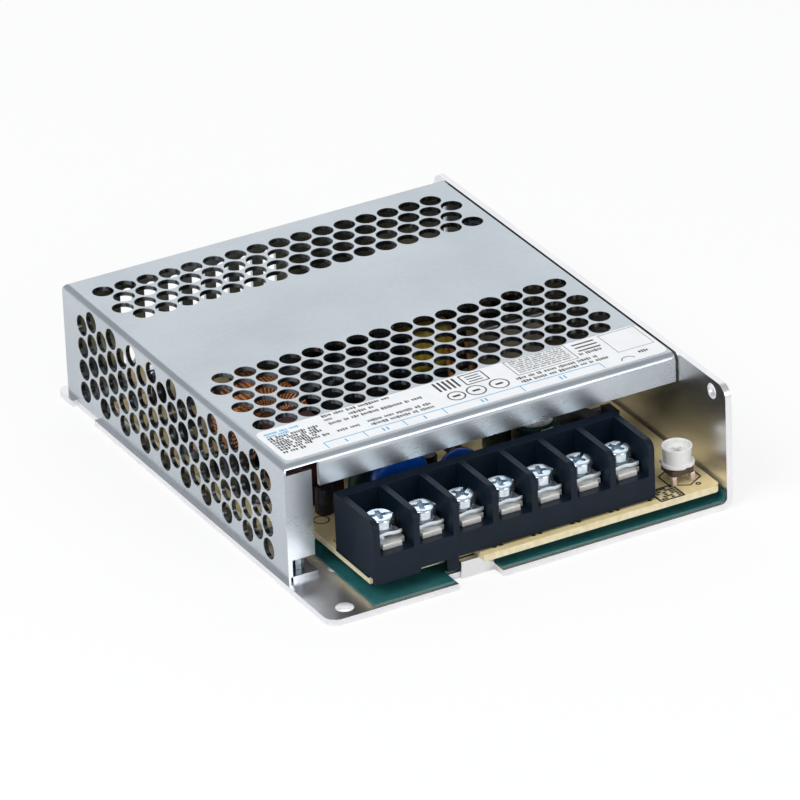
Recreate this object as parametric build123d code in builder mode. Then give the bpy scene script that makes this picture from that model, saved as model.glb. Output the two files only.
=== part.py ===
"""Enclosed panel-mount power supply: an L-shaped chassis, a folded perforated cover,
a circuit board with a seven-way terminal block, and an output voltage trimmer.

Millimetres, +Z up. The origin is the centre of the footprint, at the chassis' underside.
The terminals are at the front (-Y) and the full-height chassis wall is at the right (+X).
"""

import os
from math import cos, radians, sqrt

from build123d import *

os.makedirs("parts", exist_ok=True)

# Whole unit
width = 98.0
depth = 126.5
height = 29.0
left = -width / 2
right = width / 2
front = -depth / 2
back = depth / 2

# Clearances
fit = 0.05
seat_gap = 0.3

# Chassis: an L of aluminium sheet
plate = 1.5
chassis_bend = 2.8
chassis_front_corner = 3.0
chassis_rear_corner = 2.0
wall_front_corner = 3.0
mount_hole_radius = 2.0
mount_hole_inset_x = 5.7
mount_hole_inset_y = 4.2
wall_hole_radius = 1.75
wall_hole_inset_y = 5.6
wall_hole_drop = 3.0
tapped_hole_radius = 1.5
tapped_spacing_x = 74.0
tapped_spacing_y = 86.0
edge_recess = 1.0
edge_recess_inset = 7.5
edge_recess_length = 10.7
notch_offset = 18.2
notch_width = 10.7
notch_relief = 2.8
notch_relief_depth = 4.6
tab_setback = 3.9
wall_inner = right - plate

# Cover: one folded steel sheet
skin = 1.0
cover_drop = 0.2
cover_side_inset = 1.0
cover_wall_gap = 0.4
cover_front_inset = 19.9
cover_rear_inset = 3.7
cover_bend = 1.8
lip_height = 6.6
lip_start = 8.3
lip_corner = 0.8
flange_width = 6.5
flange_bottom = 6.4
flange_slot = 1.2
flange_corner = 1.0
foot_length = 7.0
foot_width = 7.0
foot_rear_inset = 12.0
side_tab_length = 12.0
side_tab_height = 8.0
side_tab_inset = 16.0
cover_top = height - cover_drop
cover_left = left + cover_side_inset
cover_right = wall_inner - cover_wall_gap
cover_front = front + cover_front_inset
cover_back = back - cover_rear_inset

# Perforations of the cover, in staggered rows
hole_pitch = 5.47
hole_radius = 2.42
hole_sides = 8
row_spacing = hole_pitch * sqrt(3) / 2
holes_left_margin = 5.7
holes_right_margin = 4.5
rear_rows = 4
rear_row_inset = 8.8
front_rows = 6
front_row_inset = 19.5
side_column_inset = 9.0
side_front_inset = 8.5
side_hole_drop = 6.7
side_hole_foot = 4.0

# Slots of the cover's rear wall
rear_slots = 7
slot_pitch = 5.93
slot_width = 3.3
slot_first = 13.5
slot_drop = 5.1
slot_length = 19.0

# Insulation film between the chassis and the board
film = 0.3
film_left = 11.3
film_front = 1.2
film_rear = 8.0
film_turn_up = 2.2
film_hole_radius = 3.4

# Circuit board and what holds it
board = 1.6
board_lift = 2.5
board_front = 1.4
board_step_offset = 25.2
board_step_depth = 4.6
board_block_setback = 0.3
board_rear_left = 3.5
board_shoulder = 39.5
board_rear = 7.5
board_rear_notch = 9.0
board_notch_gap = 1.0
board_wall_gap = 0.7
board_corner = 1.5
board_bottom = plate + board_lift
board_top = board_bottom + board
standoff_radius = 3.0
board_right = wall_inner - board_wall_gap
front_left_standoff = (9.0, 46.0)
front_right_standoff = (5.0, 58.0)
rear_left_standoff = (18.0, 14.5)
rear_right_standoff = (5.0, 14.5)
standoff_places = [
    (left + front_left_standoff[0], front + front_left_standoff[1]),
    (board_right - front_right_standoff[0], front + front_right_standoff[1]),
    (left + rear_left_standoff[0], back - rear_left_standoff[1]),
    (board_right - rear_right_standoff[0], back - rear_right_standoff[1]),
]

# Screws; the small ones and their bores are drawn with few sides
screw_radius = 1.5
screw_bore_radius = screw_radius + fit
screw_sides = 8
head_sides = 12
pan_head_radius = 2.75
pan_head_height = 1.8
flat_head_radius = 2.7
foot_screw_length = 6.5
side_screw_length = 5.0

# Terminal block: as many terminals as the width has room for
terminal_pitch = 9.5
barrier = 1.5
block_right_margin = 17.4
block_left_room = 10.0
terminals = int((width - block_left_room - block_right_margin - barrier) / terminal_pitch)
block_front = 3.0
block_depth = 17.2
block_height = 14.0
block_rear_wall = 2.8
bay_floor = 5.9
socket_floor = 1.0
barrier_nose = 2.2
skirt_drop = 0.6
skirt_length = 11.0
skirt_thickness = 1.2
leg_offset = 17.5
leg_length = 2.9
leg_drop = 2.8
terminal_inset = 6.5
tongue_inset = 2.0
block_stand = 0.5
rib_width = 0.7
rib_spacing = 1.6
rib_shift = 0.3
block_length = terminals * terminal_pitch + barrier
block_left = right - block_right_margin - block_length
block_center_x = block_left + block_length / 2
block_y = front + block_front
block_top = board_top + block_height
floor_z = board_top + bay_floor
terminal_y = block_y + terminal_inset
tongue_y = block_y + tongue_inset
terminal_x = [
    block_left + barrier / 2 + terminal_pitch * (index + 0.5) for index in range(terminals)
]

# Terminal hardware
contact = 1.3
contact_width = 7.2
contact_length = 8.6
tongue_width = 4.7
washer_side = 7.0
washer_thickness = 0.9
lock_washer_radius = 2.6
lock_washer_thickness = 0.8
head_radius = 3.2
head_height = 2.5
head_edge = 0.4
slot = 1.0
slot_depth = 1.0
contact_top = floor_z + contact
washer_top = contact_top + washer_thickness
head_bottom = washer_top + lock_washer_thickness

# Output voltage trimmer
trimmer_inset_x = 8.6
trimmer_inset_y = 8.7
trimmer_x = right - trimmer_inset_x
trimmer_y = front + trimmer_inset_y
trimmer_leg = 1.1
trimmer_leg_height = 2.1
trimmer_body_side = 5.6
trimmer_body_height = 1.4
trimmer_gap = 0.1
trimmer_flange_radius = 4.15
trimmer_flange = 0.7
trimmer_cup_radius = 3.7
trimmer_cup_foot_radius = 3.2
trimmer_cup_height = 3.7
trimmer_cup_wall = 0.6
trimmer_floor = 2.7
trimmer_shaft_radius = 0.9
trimmer_body_top = board_top + trimmer_leg_height + trimmer_body_height

# Input side of the board: places from the left and front edges, or from the centre line and the front
filter_capacitor_size = (10.0, 18.0, 15.0)
filter_capacitor_place = (15.6, 40.0)
fuse_size = (4.2, 8.5, 7.8)
fuse_place = (6.0, 52.0)
disc_lead = 0.6
disc_lead_spacing = 5.0
disc_stand = 1.5
thermistor_radius = 4.5
thermistor_thickness = 3.0
thermistor_place = (-21.0, 34.0)
large_disc_radius = 6.75
large_disc_place = (-16.5, 28.0)
small_disc_radius = 5.25
small_disc_place = (-3.0, 26.0)
disc_thickness = 4.2
choke_place = (-29.5, 66.0)
choke_outer_radius = 8.5
choke_inner_radius = 4.5
choke_width = 7.0
choke_wire = 0.8
choke_coil_angle = 150.0
choke_base = 0.6
choke_gap = 0.1
bulk_radius = 9.0
bulk_length = 33.0
bulk_place = (-8.0, 64.5)

# Power stage of the board: places from the centre line and the rear edge
sink_thickness = 1.6
primary_sink_width = 46.0
primary_sink_height = 18.5
primary_sink_place = (-19.0, 25.5)
bridge_size = (20.0, 3.8, 10.5)
bridge_x = -8.0
package_size = (10.0, 4.4, 9.2)
package_tab = (1.3, 6.0)
package_x = 17.0
package_lead = 0.8
package_lead_spacing = 2.54
package_lift = 3.0
output_sink_place = (23.0, 64.0)
output_sink_width = 16.0
output_sink_length = 32.0
output_sink_height = 17.4
diode_inset = 50.5
core_width = 23.0
core_depth = 10.0
core_yoke = 4.4
core_leg_share = 0.1875
core_center_share = 0.34
core_lift = 2.4
core_top_gap = 2.2
bobbin_wall = 0.9
winding_depth = 18.0
transformer_place = (14.5, 47.5)
rail_width = 2.0
rail_height = 5.2
lead_radius = 0.55
lead_offsets = [3.4, 4.9, 8.6]
lead_top = 12.4
lead_slant = 3.6

# Output side of the board: places from the centre line and the front or rear edge
output_capacitor_radius = 5.0
output_capacitor_height = 13.4
output_capacitor_places = [(16.0, 27.0), (17.0, 42.0), (30.0, 44.0)]
inductor_place = (27.5, 31.0)
inductor_radius = 7.0
inductor_hole_radius = 2.6
inductor_height = 8.0
coupler_size = (6.5, 4.6, 3.5)
coupler_places = [(33.0, 25.5), (33.0, 20.0)]
chip_size = (9.8, 6.4, 3.4)
chip_place = (-9.0, 16.5)

# Rating label on the cover's top
label = 0.15
label_left_margin = 1.8
label_right_margin = 0.3
label_front_margin = 2.0
label_depth = 14.6
label_corner = 1.6


def corner_spot(x, y):
    """A place given by its distances from the chassis' left and front edges."""
    return (left + x, front + y)


def front_spot(x, y):
    """A place given from the unit's centre line and its front edge."""
    return (x, front + y)


def rear_spot(x, y):
    """A place given from the unit's centre line and its rear edge."""
    return (x, back - y)


def save(piece, name):
    """Names a finished piece and writes its STEP file."""
    piece.part.label = name
    export_step(piece.part, f"parts/{name}.step")


# Chassis
notch_x = block_left + notch_offset
tab_x = notch_x + notch_relief
tab_width = notch_width - notch_relief
tab_y = front + tab_setback
tapped_places = [
    (side_x * tapped_spacing_x / 2, side_y * tapped_spacing_y / 2)
    for side_x in (-1, 1) for side_y in (-1, 1)
]
foot_hole_x = cover_left + foot_width / 2 + skin / 2
foot_places_y = [cover_front + foot_length / 2, cover_back - foot_rear_inset]
side_tab_y = [cover_front + side_tab_inset, cover_back - side_tab_inset]
side_screw_z = cover_top - side_tab_height / 2

with BuildPart() as chassis:
    with BuildSketch(Plane.XZ):
        with BuildLine():
            Polyline(
                (left, 0), (right, 0), (right, height), (wall_inner, height),
                (wall_inner, plate), (left, plate), (left, 0),
            )
        make_face()
        fillet(vertices().filter_by_position(Axis.X, right - 0.1, right).sort_by(Axis.Y)[0], chassis_bend)
        fillet(
            vertices().filter_by_position(Axis.X, wall_inner - 0.1, wall_inner).sort_by(Axis.Y)[0],
            chassis_bend - plate,
        )
    extrude(amount=depth / 2, both=True)
    plate_corners = chassis.edges().filter_by(Axis.Z).sort_by(Axis.X)[0:2].sort_by(Axis.Y)
    fillet(plate_corners[0], chassis_front_corner)
    rear_corner = chassis.edges().filter_by(Axis.Z).sort_by(Axis.X)[0:2].sort_by(Axis.Y)[-1]
    fillet(rear_corner, chassis_rear_corner)
    wall_corners = chassis.edges().filter_by(Axis.X).group_by(Axis.Z)[-1].sort_by(Axis.Y)
    fillet(wall_corners, wall_front_corner)

    # Recess of the left edge, and the front notch its tab is bent from
    with BuildSketch():
        with Locations((left, back - edge_recess_inset)):
            Rectangle(2 * edge_recess, edge_recess_length, align=(Align.CENTER, Align.MAX))
        with Locations((notch_x, front)):
            Rectangle(notch_width, tab_setback, align=(Align.MIN, Align.MIN))
            Rectangle(notch_relief, notch_relief_depth, align=(Align.MIN, Align.MIN))
    extrude(amount=plate, mode=Mode.SUBTRACT)
    with BuildSketch(Plane.YZ.offset(tab_x)):
        with BuildLine():
            Polyline(
                (tab_y, 0), (tab_y + 2 * plate, 0), (tab_y + 2 * plate, plate),
                (tab_y + plate, plate), (tab_y + plate, board_bottom),
                (tab_y, board_bottom), (tab_y, 0),
            )
        make_face()
        fillet(vertices().sort_by(Axis.Y)[0:2].sort_by(Axis.X)[0], plate)
    extrude(amount=tab_width)

    # Mounting holes, tapped holes and the cover's screw holes
    with BuildSketch():
        with Locations(corner_spot(mount_hole_inset_x, mount_hole_inset_y)):
            Circle(mount_hole_radius)
        with Locations(*tapped_places):
            Circle(tapped_hole_radius)
    extrude(amount=plate, mode=Mode.SUBTRACT)
    with BuildSketch(Plane.YZ.offset(wall_inner)):
        with Locations((front + wall_hole_inset_y, height - wall_hole_drop)):
            Circle(wall_hole_radius)
    extrude(amount=plate, mode=Mode.SUBTRACT)
    for y in foot_places_y:
        with BuildSketch():
            with Locations((foot_hole_x, y)):
                Circle(flat_head_radius + fit)
        with BuildSketch(Plane.XY.offset(plate)):
            with Locations((foot_hole_x, y)):
                Circle(screw_bore_radius)
        loft(mode=Mode.SUBTRACT)
    for y in side_tab_y:
        with BuildSketch(Plane.YZ.offset(wall_inner)):
            with Locations((y, side_screw_z)):
                Circle(screw_bore_radius)
        with BuildSketch(Plane.YZ.offset(right)):
            with Locations((y, side_screw_z)):
                Circle(flat_head_radius + fit)
        loft(mode=Mode.SUBTRACT)
save(chassis, "chassis")


# Cover
cover_length = cover_back - cover_front
cover_width = cover_right - cover_left
cover_height = cover_top - plate
inner_top = cover_top - skin
flange_top = inner_top - flange_slot
hole_x = cover_left + holes_left_margin
hole_shift = hole_pitch / 2
half_side = 180 / hole_sides
row_run = cover_width - holes_left_margin - holes_right_margin - hole_shift
holes_in_row = int(row_run / hole_pitch) + 1
side_columns = int((cover_length - side_column_inset - side_front_inset) / row_spacing) + 1
side_holes = int((cover_height - side_hole_drop - side_hole_foot) / hole_pitch) + 1


def top_row(row, first_y, offset_parity):
    """Centres of one staggered row of the top, counted from the rear."""
    shift = hole_shift if (row + offset_parity) % 2 else 0.0
    return [
        (hole_x + shift + hole_pitch * index, first_y - row_spacing * row)
        for index in range(holes_in_row)
    ]


def side_column(column):
    """Centres of one staggered column of the left wall, as (y, z), counted from the rear."""
    lift = hole_shift if column % 2 else 0.0
    y = cover_back - side_column_inset - row_spacing * column
    return [(y, cover_top - side_hole_drop + lift - hole_pitch * index) for index in range(side_holes)]


first_rear_row = cover_back - rear_row_inset
last_front_row = cover_front + front_row_inset
first_front_row = last_front_row + row_spacing * (front_rows - 1)
top_holes = []
for row in range(rear_rows):
    top_holes += top_row(row, first_rear_row, 0)
for row in range(front_rows):
    top_holes += top_row(row, first_front_row, 1)
side_holes_places = []
for column in range(side_columns):
    side_holes_places += side_column(column)

with BuildPart() as cover:
    with BuildSketch(Plane.XY.offset(plate)):
        with Locations((cover_left, cover_front)):
            Rectangle(cover_width, cover_length, align=(Align.MIN, Align.MIN))
    extrude(amount=cover_height)
    top_edges = cover.edges().group_by(Axis.Z)[-1]
    bends = top_edges.filter_by(Axis.X) + top_edges.filter_by(Axis.Y).sort_by(Axis.X)[0:1]
    fillet(bends, cover_bend)
    open_sides = [cover.faces().sort_by(Axis.Z)[0], cover.faces().sort_by(Axis.X)[-1]]
    offset(amount=-skin, openings=open_sides)

    # Front face: the lip and the flange stay, the rest is open
    with BuildSketch(Plane.XZ.offset(-cover_front)):
        with BuildLine():
            Polyline(
                (cover_left + flange_width, plate), (cover_right, plate),
                (cover_right, cover_top - lip_height),
                (cover_left + lip_start, cover_top - lip_height),
                (cover_left + lip_start, inner_top), (cover_left + skin / 2, inner_top),
                (cover_left + skin / 2, flange_top), (cover_left + flange_width, flange_top),
                (cover_left + flange_width, plate),
            )
        make_face()
        with Locations((cover_left + skin, plate)):
            Rectangle(flange_width, flange_bottom - plate, align=(Align.MIN, Align.MIN))
        lip_corners = vertices().filter_by_position(
            Axis.Y, cover_top - lip_height - 0.1, cover_top - lip_height + 0.1
        )
        fillet(lip_corners.sort_by(Axis.X)[0], lip_corner)
        flange_corners = vertices().filter_by_position(
            Axis.X, cover_left + flange_width - 0.1, cover_left + flange_width + 0.1
        )
        fillet(flange_corners, flange_corner)
    extrude(amount=-2 * skin, mode=Mode.SUBTRACT)

    # Rear face: ventilation slots whose ends are half of an eight-sided hole, and a relief that
    # clears the bend of the chassis
    with BuildSketch(Plane.XZ.offset(-cover_back)):
        slot_center = cover_top - slot_drop - slot_length / 2
        slot_run = slot_length - slot_width
        with Locations((cover_left + slot_first + slot_width / 2, slot_center)):
            with GridLocations(slot_pitch, slot_run, rear_slots, 2, align=(Align.MIN, Align.CENTER)):
                RegularPolygon(slot_width / 2, hole_sides, major_radius=False, rotation=half_side)
            with GridLocations(slot_pitch, 1, rear_slots, 1, align=(Align.MIN, Align.CENTER)):
                Rectangle(slot_width, slot_run)
        with Locations((cover_right, plate)):
            Rectangle(2 * chassis_bend, 2 * chassis_bend)
    extrude(amount=2 * skin, mode=Mode.SUBTRACT)

    # Feet turned in at the left wall, and side tabs turned down at the right edge
    for y in foot_places_y:
        with BuildSketch(Plane.XY.offset(plate)):
            with Locations((cover_left, y)):
                Rectangle(foot_width, foot_length, align=(Align.MIN, Align.CENTER))
            with Locations((foot_hole_x, y)):
                RegularPolygon(screw_bore_radius, screw_sides, mode=Mode.SUBTRACT)
        extrude(amount=skin)
    for y in side_tab_y:
        with BuildSketch(Plane.YZ.offset(cover_right - skin)):
            with Locations((y, cover_top)):
                Rectangle(side_tab_length, side_tab_height, align=(Align.CENTER, Align.MAX))
            with Locations((y, side_screw_z)):
                RegularPolygon(screw_bore_radius, screw_sides, mode=Mode.SUBTRACT)
        extrude(amount=skin)

    # Punched ventilation holes, drawn with eight sides
    with BuildSketch(Plane.XY.offset(inner_top)):
        with Locations(*top_holes):
            RegularPolygon(hole_radius, hole_sides)
    extrude(amount=skin, mode=Mode.SUBTRACT)
    with BuildSketch(Plane.YZ.offset(cover_left)):
        with Locations(*side_holes_places):
            RegularPolygon(hole_radius, hole_sides)
    extrude(amount=skin, mode=Mode.SUBTRACT)
save(cover, "cover")


# Rating label
with BuildPart() as rating_label:
    with BuildSketch(Plane.XY.offset(cover_top)):
        with Locations((cover_left + label_left_margin, cover_front + label_front_margin)):
            label_width = cover_width - label_left_margin - label_right_margin
            Rectangle(label_width, label_depth, align=(Align.MIN, Align.MIN))
        fillet(vertices(), label_corner)
    extrude(amount=label)
save(rating_label, "rating_label")


# Insulation film, turned up at the chassis wall
film_right = wall_inner - fit
film_bend = chassis_bend - plate
with BuildPart() as insulation_film:
    with BuildSketch(Plane.XZ):
        with BuildLine():
            Polyline(
                (left + film_left, plate), (film_right, plate), (film_right, plate + film_turn_up),
                (film_right - film, plate + film_turn_up), (film_right - film, plate + film),
                (left + film_left, plate + film), (left + film_left, plate),
            )
        make_face()
        fillet(vertices().sort_by(Axis.X)[-2:].sort_by(Axis.Y)[0], film_bend)
        film_inner = film_right - film
        inner_corner = vertices().filter_by_position(Axis.X, film_inner - fit, film_inner + fit)
        fillet(inner_corner.sort_by(Axis.Y)[0], film_bend - film)
    extrude(amount=depth / 2, both=True)
    with BuildSketch():
        with Locations((left, front)):
            Rectangle(width, film_front, align=(Align.MIN, Align.MIN))
        with Locations((left, back)):
            Rectangle(width, film_rear, align=(Align.MIN, Align.MAX))
        with Locations((notch_x - seat_gap, front)):
            Rectangle(
                notch_width + 2 * seat_gap, tab_setback + plate + seat_gap, align=(Align.MIN, Align.MIN)
            )
        with Locations(*standoff_places):
            RegularPolygon(film_hole_radius, head_sides)
    extrude(amount=height, mode=Mode.SUBTRACT)
save(insulation_film, "insulation_film")


# Circuit board
board_back = back - board_rear
board_notch_y = foot_places_y[1] - foot_length / 2 - board_notch_gap
board_step_x = block_left + board_step_offset
board_rear_x = left + board_rear_left
with BuildPart() as circuit_board:
    with BuildSketch(Plane.XY.offset(board_bottom)):
        with Locations((board_right, front + board_front)):
            Rectangle(
                board_right - board_step_x, board_back - front - board_front, align=(Align.MAX, Align.MIN)
            )
        with Locations((board_step_x, front + board_front + board_step_depth)):
            Rectangle(
                board_step_offset - board_block_setback, board_shoulder, align=(Align.MAX, Align.MIN)
            )
        with Locations((board_step_x, board_back)):
            Rectangle(
                board_step_x - board_rear_x, board_back - front - board_shoulder, align=(Align.MAX, Align.MAX)
            )
        with Locations((board_rear_x, board_notch_y)):
            Rectangle(
                board_rear_notch, board_back - board_notch_y, align=(Align.MIN, Align.MIN), mode=Mode.SUBTRACT
            )
        fillet(vertices().sort_by(Axis.X)[-2:], board_corner)
        with Locations(*standoff_places):
            RegularPolygon(screw_bore_radius, screw_sides, mode=Mode.SUBTRACT)
    extrude(amount=board)
save(circuit_board, "circuit_board")

with BuildPart() as board_standoffs:
    with BuildSketch(Plane.XY.offset(plate)):
        with Locations(*standoff_places):
            RegularPolygon(standoff_radius, 6)
            RegularPolygon(screw_bore_radius, screw_sides, mode=Mode.SUBTRACT)
    extrude(amount=board_lift)
save(board_standoffs, "board_standoffs")

with BuildPart() as board_screws:
    with BuildSketch(Plane.XY.offset(board_top)):
        with Locations(*standoff_places):
            RegularPolygon(pan_head_radius, head_sides)
    extrude(amount=pan_head_height)
    with BuildSketch(Plane.XY.offset(board_top + pan_head_height)):
        with Locations(*standoff_places):
            Rectangle(2 * pan_head_radius, slot)
    extrude(amount=-slot_depth, mode=Mode.SUBTRACT)
    with BuildSketch(Plane.XY.offset(board_top)):
        with Locations(*standoff_places):
            RegularPolygon(screw_radius, screw_sides)
    extrude(amount=-(board + board_lift - seat_gap))
save(board_screws, "board_screws")

# Countersunk cover screws: two up through the feet, two in through the side tabs
with BuildPart() as cover_screws:
    for y in foot_places_y:
        with BuildSketch():
            with Locations((foot_hole_x, y)):
                RegularPolygon(flat_head_radius, screw_sides)
        with BuildSketch(Plane.XY.offset(plate)):
            with Locations((foot_hole_x, y)):
                RegularPolygon(screw_radius, screw_sides)
        loft()
        with BuildSketch(Plane.XY.offset(plate)):
            with Locations((foot_hole_x, y)):
                RegularPolygon(screw_radius, screw_sides)
        extrude(amount=foot_screw_length - plate)
    for y in side_tab_y:
        with BuildSketch(Plane.YZ.offset(wall_inner)):
            with Locations((y, side_screw_z)):
                RegularPolygon(screw_radius, screw_sides)
        with BuildSketch(Plane.YZ.offset(right)):
            with Locations((y, side_screw_z)):
                RegularPolygon(flat_head_radius, screw_sides)
        loft()
        with BuildSketch(Plane.YZ.offset(wall_inner)):
            with Locations((y, side_screw_z)):
                RegularPolygon(screw_radius, screw_sides)
        extrude(amount=-(side_screw_length - plate))
save(cover_screws, "cover_screws")


# Terminal block
board_step_y = front + board_front + board_step_depth
block_bottom = board_top + block_stand
with BuildPart() as terminal_block:
    with BuildSketch(Plane.XY.offset(block_bottom)):
        with Locations((block_center_x, block_y)):
            Rectangle(block_length, block_depth, align=(Align.CENTER, Align.MIN))
    extrude(amount=block_top - block_bottom)
    with BuildSketch(Plane.XY.offset(floor_z)):
        for x in terminal_x:
            with Locations((x, block_y)):
                Rectangle(
                    terminal_pitch - barrier, block_depth - block_rear_wall, align=(Align.CENTER, Align.MIN)
                )
    extrude(amount=block_height, mode=Mode.SUBTRACT)
    noses = terminal_block.edges().filter_by(Axis.X).group_by(Axis.Z)[-1].group_by(Axis.Y)[0]
    fillet(noses, barrier_nose)

    # Screw sockets in the bay floors
    with BuildSketch(Plane.XY.offset(floor_z)):
        for x in terminal_x:
            with Locations((x, terminal_y)):
                RegularPolygon(screw_bore_radius, screw_sides)
    extrude(amount=-(bay_floor - socket_floor), mode=Mode.SUBTRACT)

    # Pairs of ribs under the barriers, on which the block stands on the board
    with BuildSketch(Plane.XY.offset(board_top)):
        for index in range(terminals + 1):
            barrier_x = block_left + barrier / 2 + terminal_pitch * index
            rib_y = block_y if barrier_x > block_left + board_step_offset else board_step_y
            for rib_x in (barrier_x - rib_spacing / 2 + rib_shift, barrier_x + rib_spacing / 2 + rib_shift):
                if block_left < rib_x < block_left + block_length - rib_width:
                    with Locations((rib_x, rib_y)):
                        Rectangle(rib_width, block_y + block_depth - rib_y, align=(Align.CENTER, Align.MIN))
    extrude(amount=block_stand)

    # Hanging skirt and leg in front of the stepped board edge
    with BuildSketch(Plane.XY.offset(block_bottom)):
        with Locations((block_left, block_y)):
            Rectangle(skirt_length, skirt_thickness, align=(Align.MIN, Align.MIN))
    extrude(amount=-(block_stand + skirt_drop))
    with BuildSketch(Plane.XY.offset(block_bottom)):
        with Locations((block_left + leg_offset, block_y + skirt_thickness / 2)):
            Rectangle(leg_length, skirt_thickness, align=(Align.MIN, Align.MIN))
    extrude(amount=-(block_stand + leg_drop))
save(terminal_block, "terminal_block")

with BuildPart() as terminal_plates:
    contact_y = tongue_y + contact
    for x in terminal_x:
        with BuildSketch(Plane.XY.offset(floor_z)):
            with Locations((x, contact_y)):
                Rectangle(contact_width, contact_length, align=(Align.CENTER, Align.MIN))
                Rectangle(tongue_width, 2 * contact)
            with Locations((x, terminal_y)):
                RegularPolygon(screw_bore_radius, screw_sides, mode=Mode.SUBTRACT)
        extrude(amount=contact)
save(terminal_plates, "terminal_plates")

with BuildPart() as terminal_washers:
    with BuildSketch(Plane.XY.offset(contact_top)):
        for x in terminal_x:
            with Locations((x, terminal_y)):
                Rectangle(washer_side, washer_side)
                RegularPolygon(screw_bore_radius, screw_sides, mode=Mode.SUBTRACT)
    extrude(amount=washer_thickness)
save(terminal_washers, "terminal_washers")

with BuildPart() as terminal_lock_washers:
    with BuildSketch(Plane.XY.offset(washer_top)):
        for x in terminal_x:
            with Locations((x, terminal_y)):
                RegularPolygon(lock_washer_radius, head_sides)
                RegularPolygon(screw_bore_radius, screw_sides, mode=Mode.SUBTRACT)
    extrude(amount=lock_washer_thickness)
save(terminal_lock_washers, "terminal_lock_washers")

screw_depth = head_bottom - board_top - 2 * socket_floor
with BuildPart() as terminal_screws:
    with BuildSketch(Plane.XY.offset(head_bottom)):
        for x in terminal_x:
            with Locations((x, terminal_y)):
                RegularPolygon(head_radius, head_sides)
    extrude(amount=head_height)
    chamfer(terminal_screws.edges().group_by(Axis.Z)[-1], head_edge)
    with BuildSketch(Plane.XY.offset(head_bottom + head_height)):
        for x in terminal_x:
            with Locations((x, terminal_y)):
                Rectangle(2 * head_radius, slot)
    extrude(amount=-slot_depth, mode=Mode.SUBTRACT)
    with BuildSketch(Plane.XY.offset(head_bottom)):
        for x in terminal_x:
            with Locations((x, terminal_y)):
                RegularPolygon(screw_radius, screw_sides)
    extrude(amount=-screw_depth)
save(terminal_screws, "terminal_screws")


# Trimmer: legs, body and the knob that turns on it
leg_spread = trimmer_body_side / 2 - trimmer_leg / 2
with BuildPart() as trimmer_legs:
    with BuildSketch(Plane.XY.offset(board_top)):
        with Locations(
            (trimmer_x - leg_spread, trimmer_y - leg_spread),
            (trimmer_x + leg_spread, trimmer_y - leg_spread),
            (trimmer_x, trimmer_y + leg_spread),
        ):
            Rectangle(trimmer_leg, trimmer_leg)
    extrude(amount=trimmer_leg_height)
save(trimmer_legs, "trimmer_legs")

with BuildPart() as trimmer_body:
    with BuildSketch(Plane.XY.offset(board_top + trimmer_leg_height)):
        with Locations((trimmer_x, trimmer_y)):
            RectangleRounded(trimmer_body_side, trimmer_body_side, trimmer_body_side / 6)
            Circle(trimmer_shaft_radius + fit, mode=Mode.SUBTRACT)
    extrude(amount=trimmer_body_height)
save(trimmer_body, "trimmer_body")

knob_bottom = trimmer_body_top + trimmer_gap
cup_bottom = knob_bottom + trimmer_flange
knob_top = cup_bottom + trimmer_cup_height
with BuildPart() as trimmer_knob:
    with BuildSketch(Plane.XZ.offset(-trimmer_y)):
        with BuildLine():
            Polyline(
                (trimmer_x, knob_bottom - trimmer_body_height),
                (trimmer_x + trimmer_shaft_radius, knob_bottom - trimmer_body_height),
                (trimmer_x + trimmer_shaft_radius, knob_bottom),
                (trimmer_x + trimmer_flange_radius, knob_bottom),
                (trimmer_x + trimmer_flange_radius, cup_bottom),
                (trimmer_x + trimmer_cup_foot_radius, cup_bottom),
                (trimmer_x + trimmer_cup_radius, knob_top),
                (trimmer_x + trimmer_cup_radius - trimmer_cup_wall, knob_top),
                (trimmer_x + trimmer_cup_radius - trimmer_cup_wall, cup_bottom + trimmer_floor),
                (trimmer_x, cup_bottom + trimmer_floor),
                (trimmer_x, knob_bottom - trimmer_body_height),
            )
        make_face()
    revolve(axis=Axis((trimmer_x, trimmer_y, 0), (0, 0, 1)))
    with BuildSketch(Plane.XY.offset(cup_bottom + trimmer_floor)):
        with Locations((trimmer_x, trimmer_y)):
            Rectangle(trimmer_cup_radius, slot)
    extrude(amount=-slot_depth, mode=Mode.SUBTRACT)
save(trimmer_knob, "trimmer_knob")


# Input side: filter capacitor, fuse, thermistor and disc capacitors
with BuildPart() as filter_capacitor:
    with BuildSketch(Plane.XY.offset(board_top)):
        with Locations(corner_spot(*filter_capacitor_place)):
            Rectangle(filter_capacitor_size[0], filter_capacitor_size[1], align=(Align.MIN, Align.MIN))
    extrude(amount=filter_capacitor_size[2])
    chamfer(filter_capacitor.edges().group_by(Axis.Z)[-1], skin / 2)
save(filter_capacitor, "filter_capacitor")

with BuildPart() as fuse:
    with BuildSketch(Plane.XY.offset(board_top)):
        with Locations(corner_spot(*fuse_place)):
            Rectangle(fuse_size[0], fuse_size[1], align=(Align.MIN, Align.MIN))
    extrude(amount=fuse_size[2])
save(fuse, "fuse")


def lead_places(x, y):
    """The two lead places of a disc that stands across the board."""
    return [(x - disc_lead_spacing / 2, y), (x + disc_lead_spacing / 2, y)]


def disc_center_z(radius):
    """Height of the centre of a disc that stands clear of the board on its leads."""
    return board_top + disc_stand + radius


thermistor_x, thermistor_y = front_spot(*thermistor_place)
with BuildPart() as inrush_thermistor:
    with BuildSketch(Plane.XZ.offset(-thermistor_y)):
        with Locations((thermistor_x, disc_center_z(thermistor_radius))):
            Circle(thermistor_radius)
    extrude(amount=thermistor_thickness / 2, both=True)
    with BuildSketch(Plane.XY.offset(board_top)):
        with Locations(*lead_places(thermistor_x, thermistor_y)):
            Rectangle(disc_lead, disc_lead)
    extrude(amount=disc_stand + thermistor_radius)
save(inrush_thermistor, "inrush_thermistor")

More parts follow.
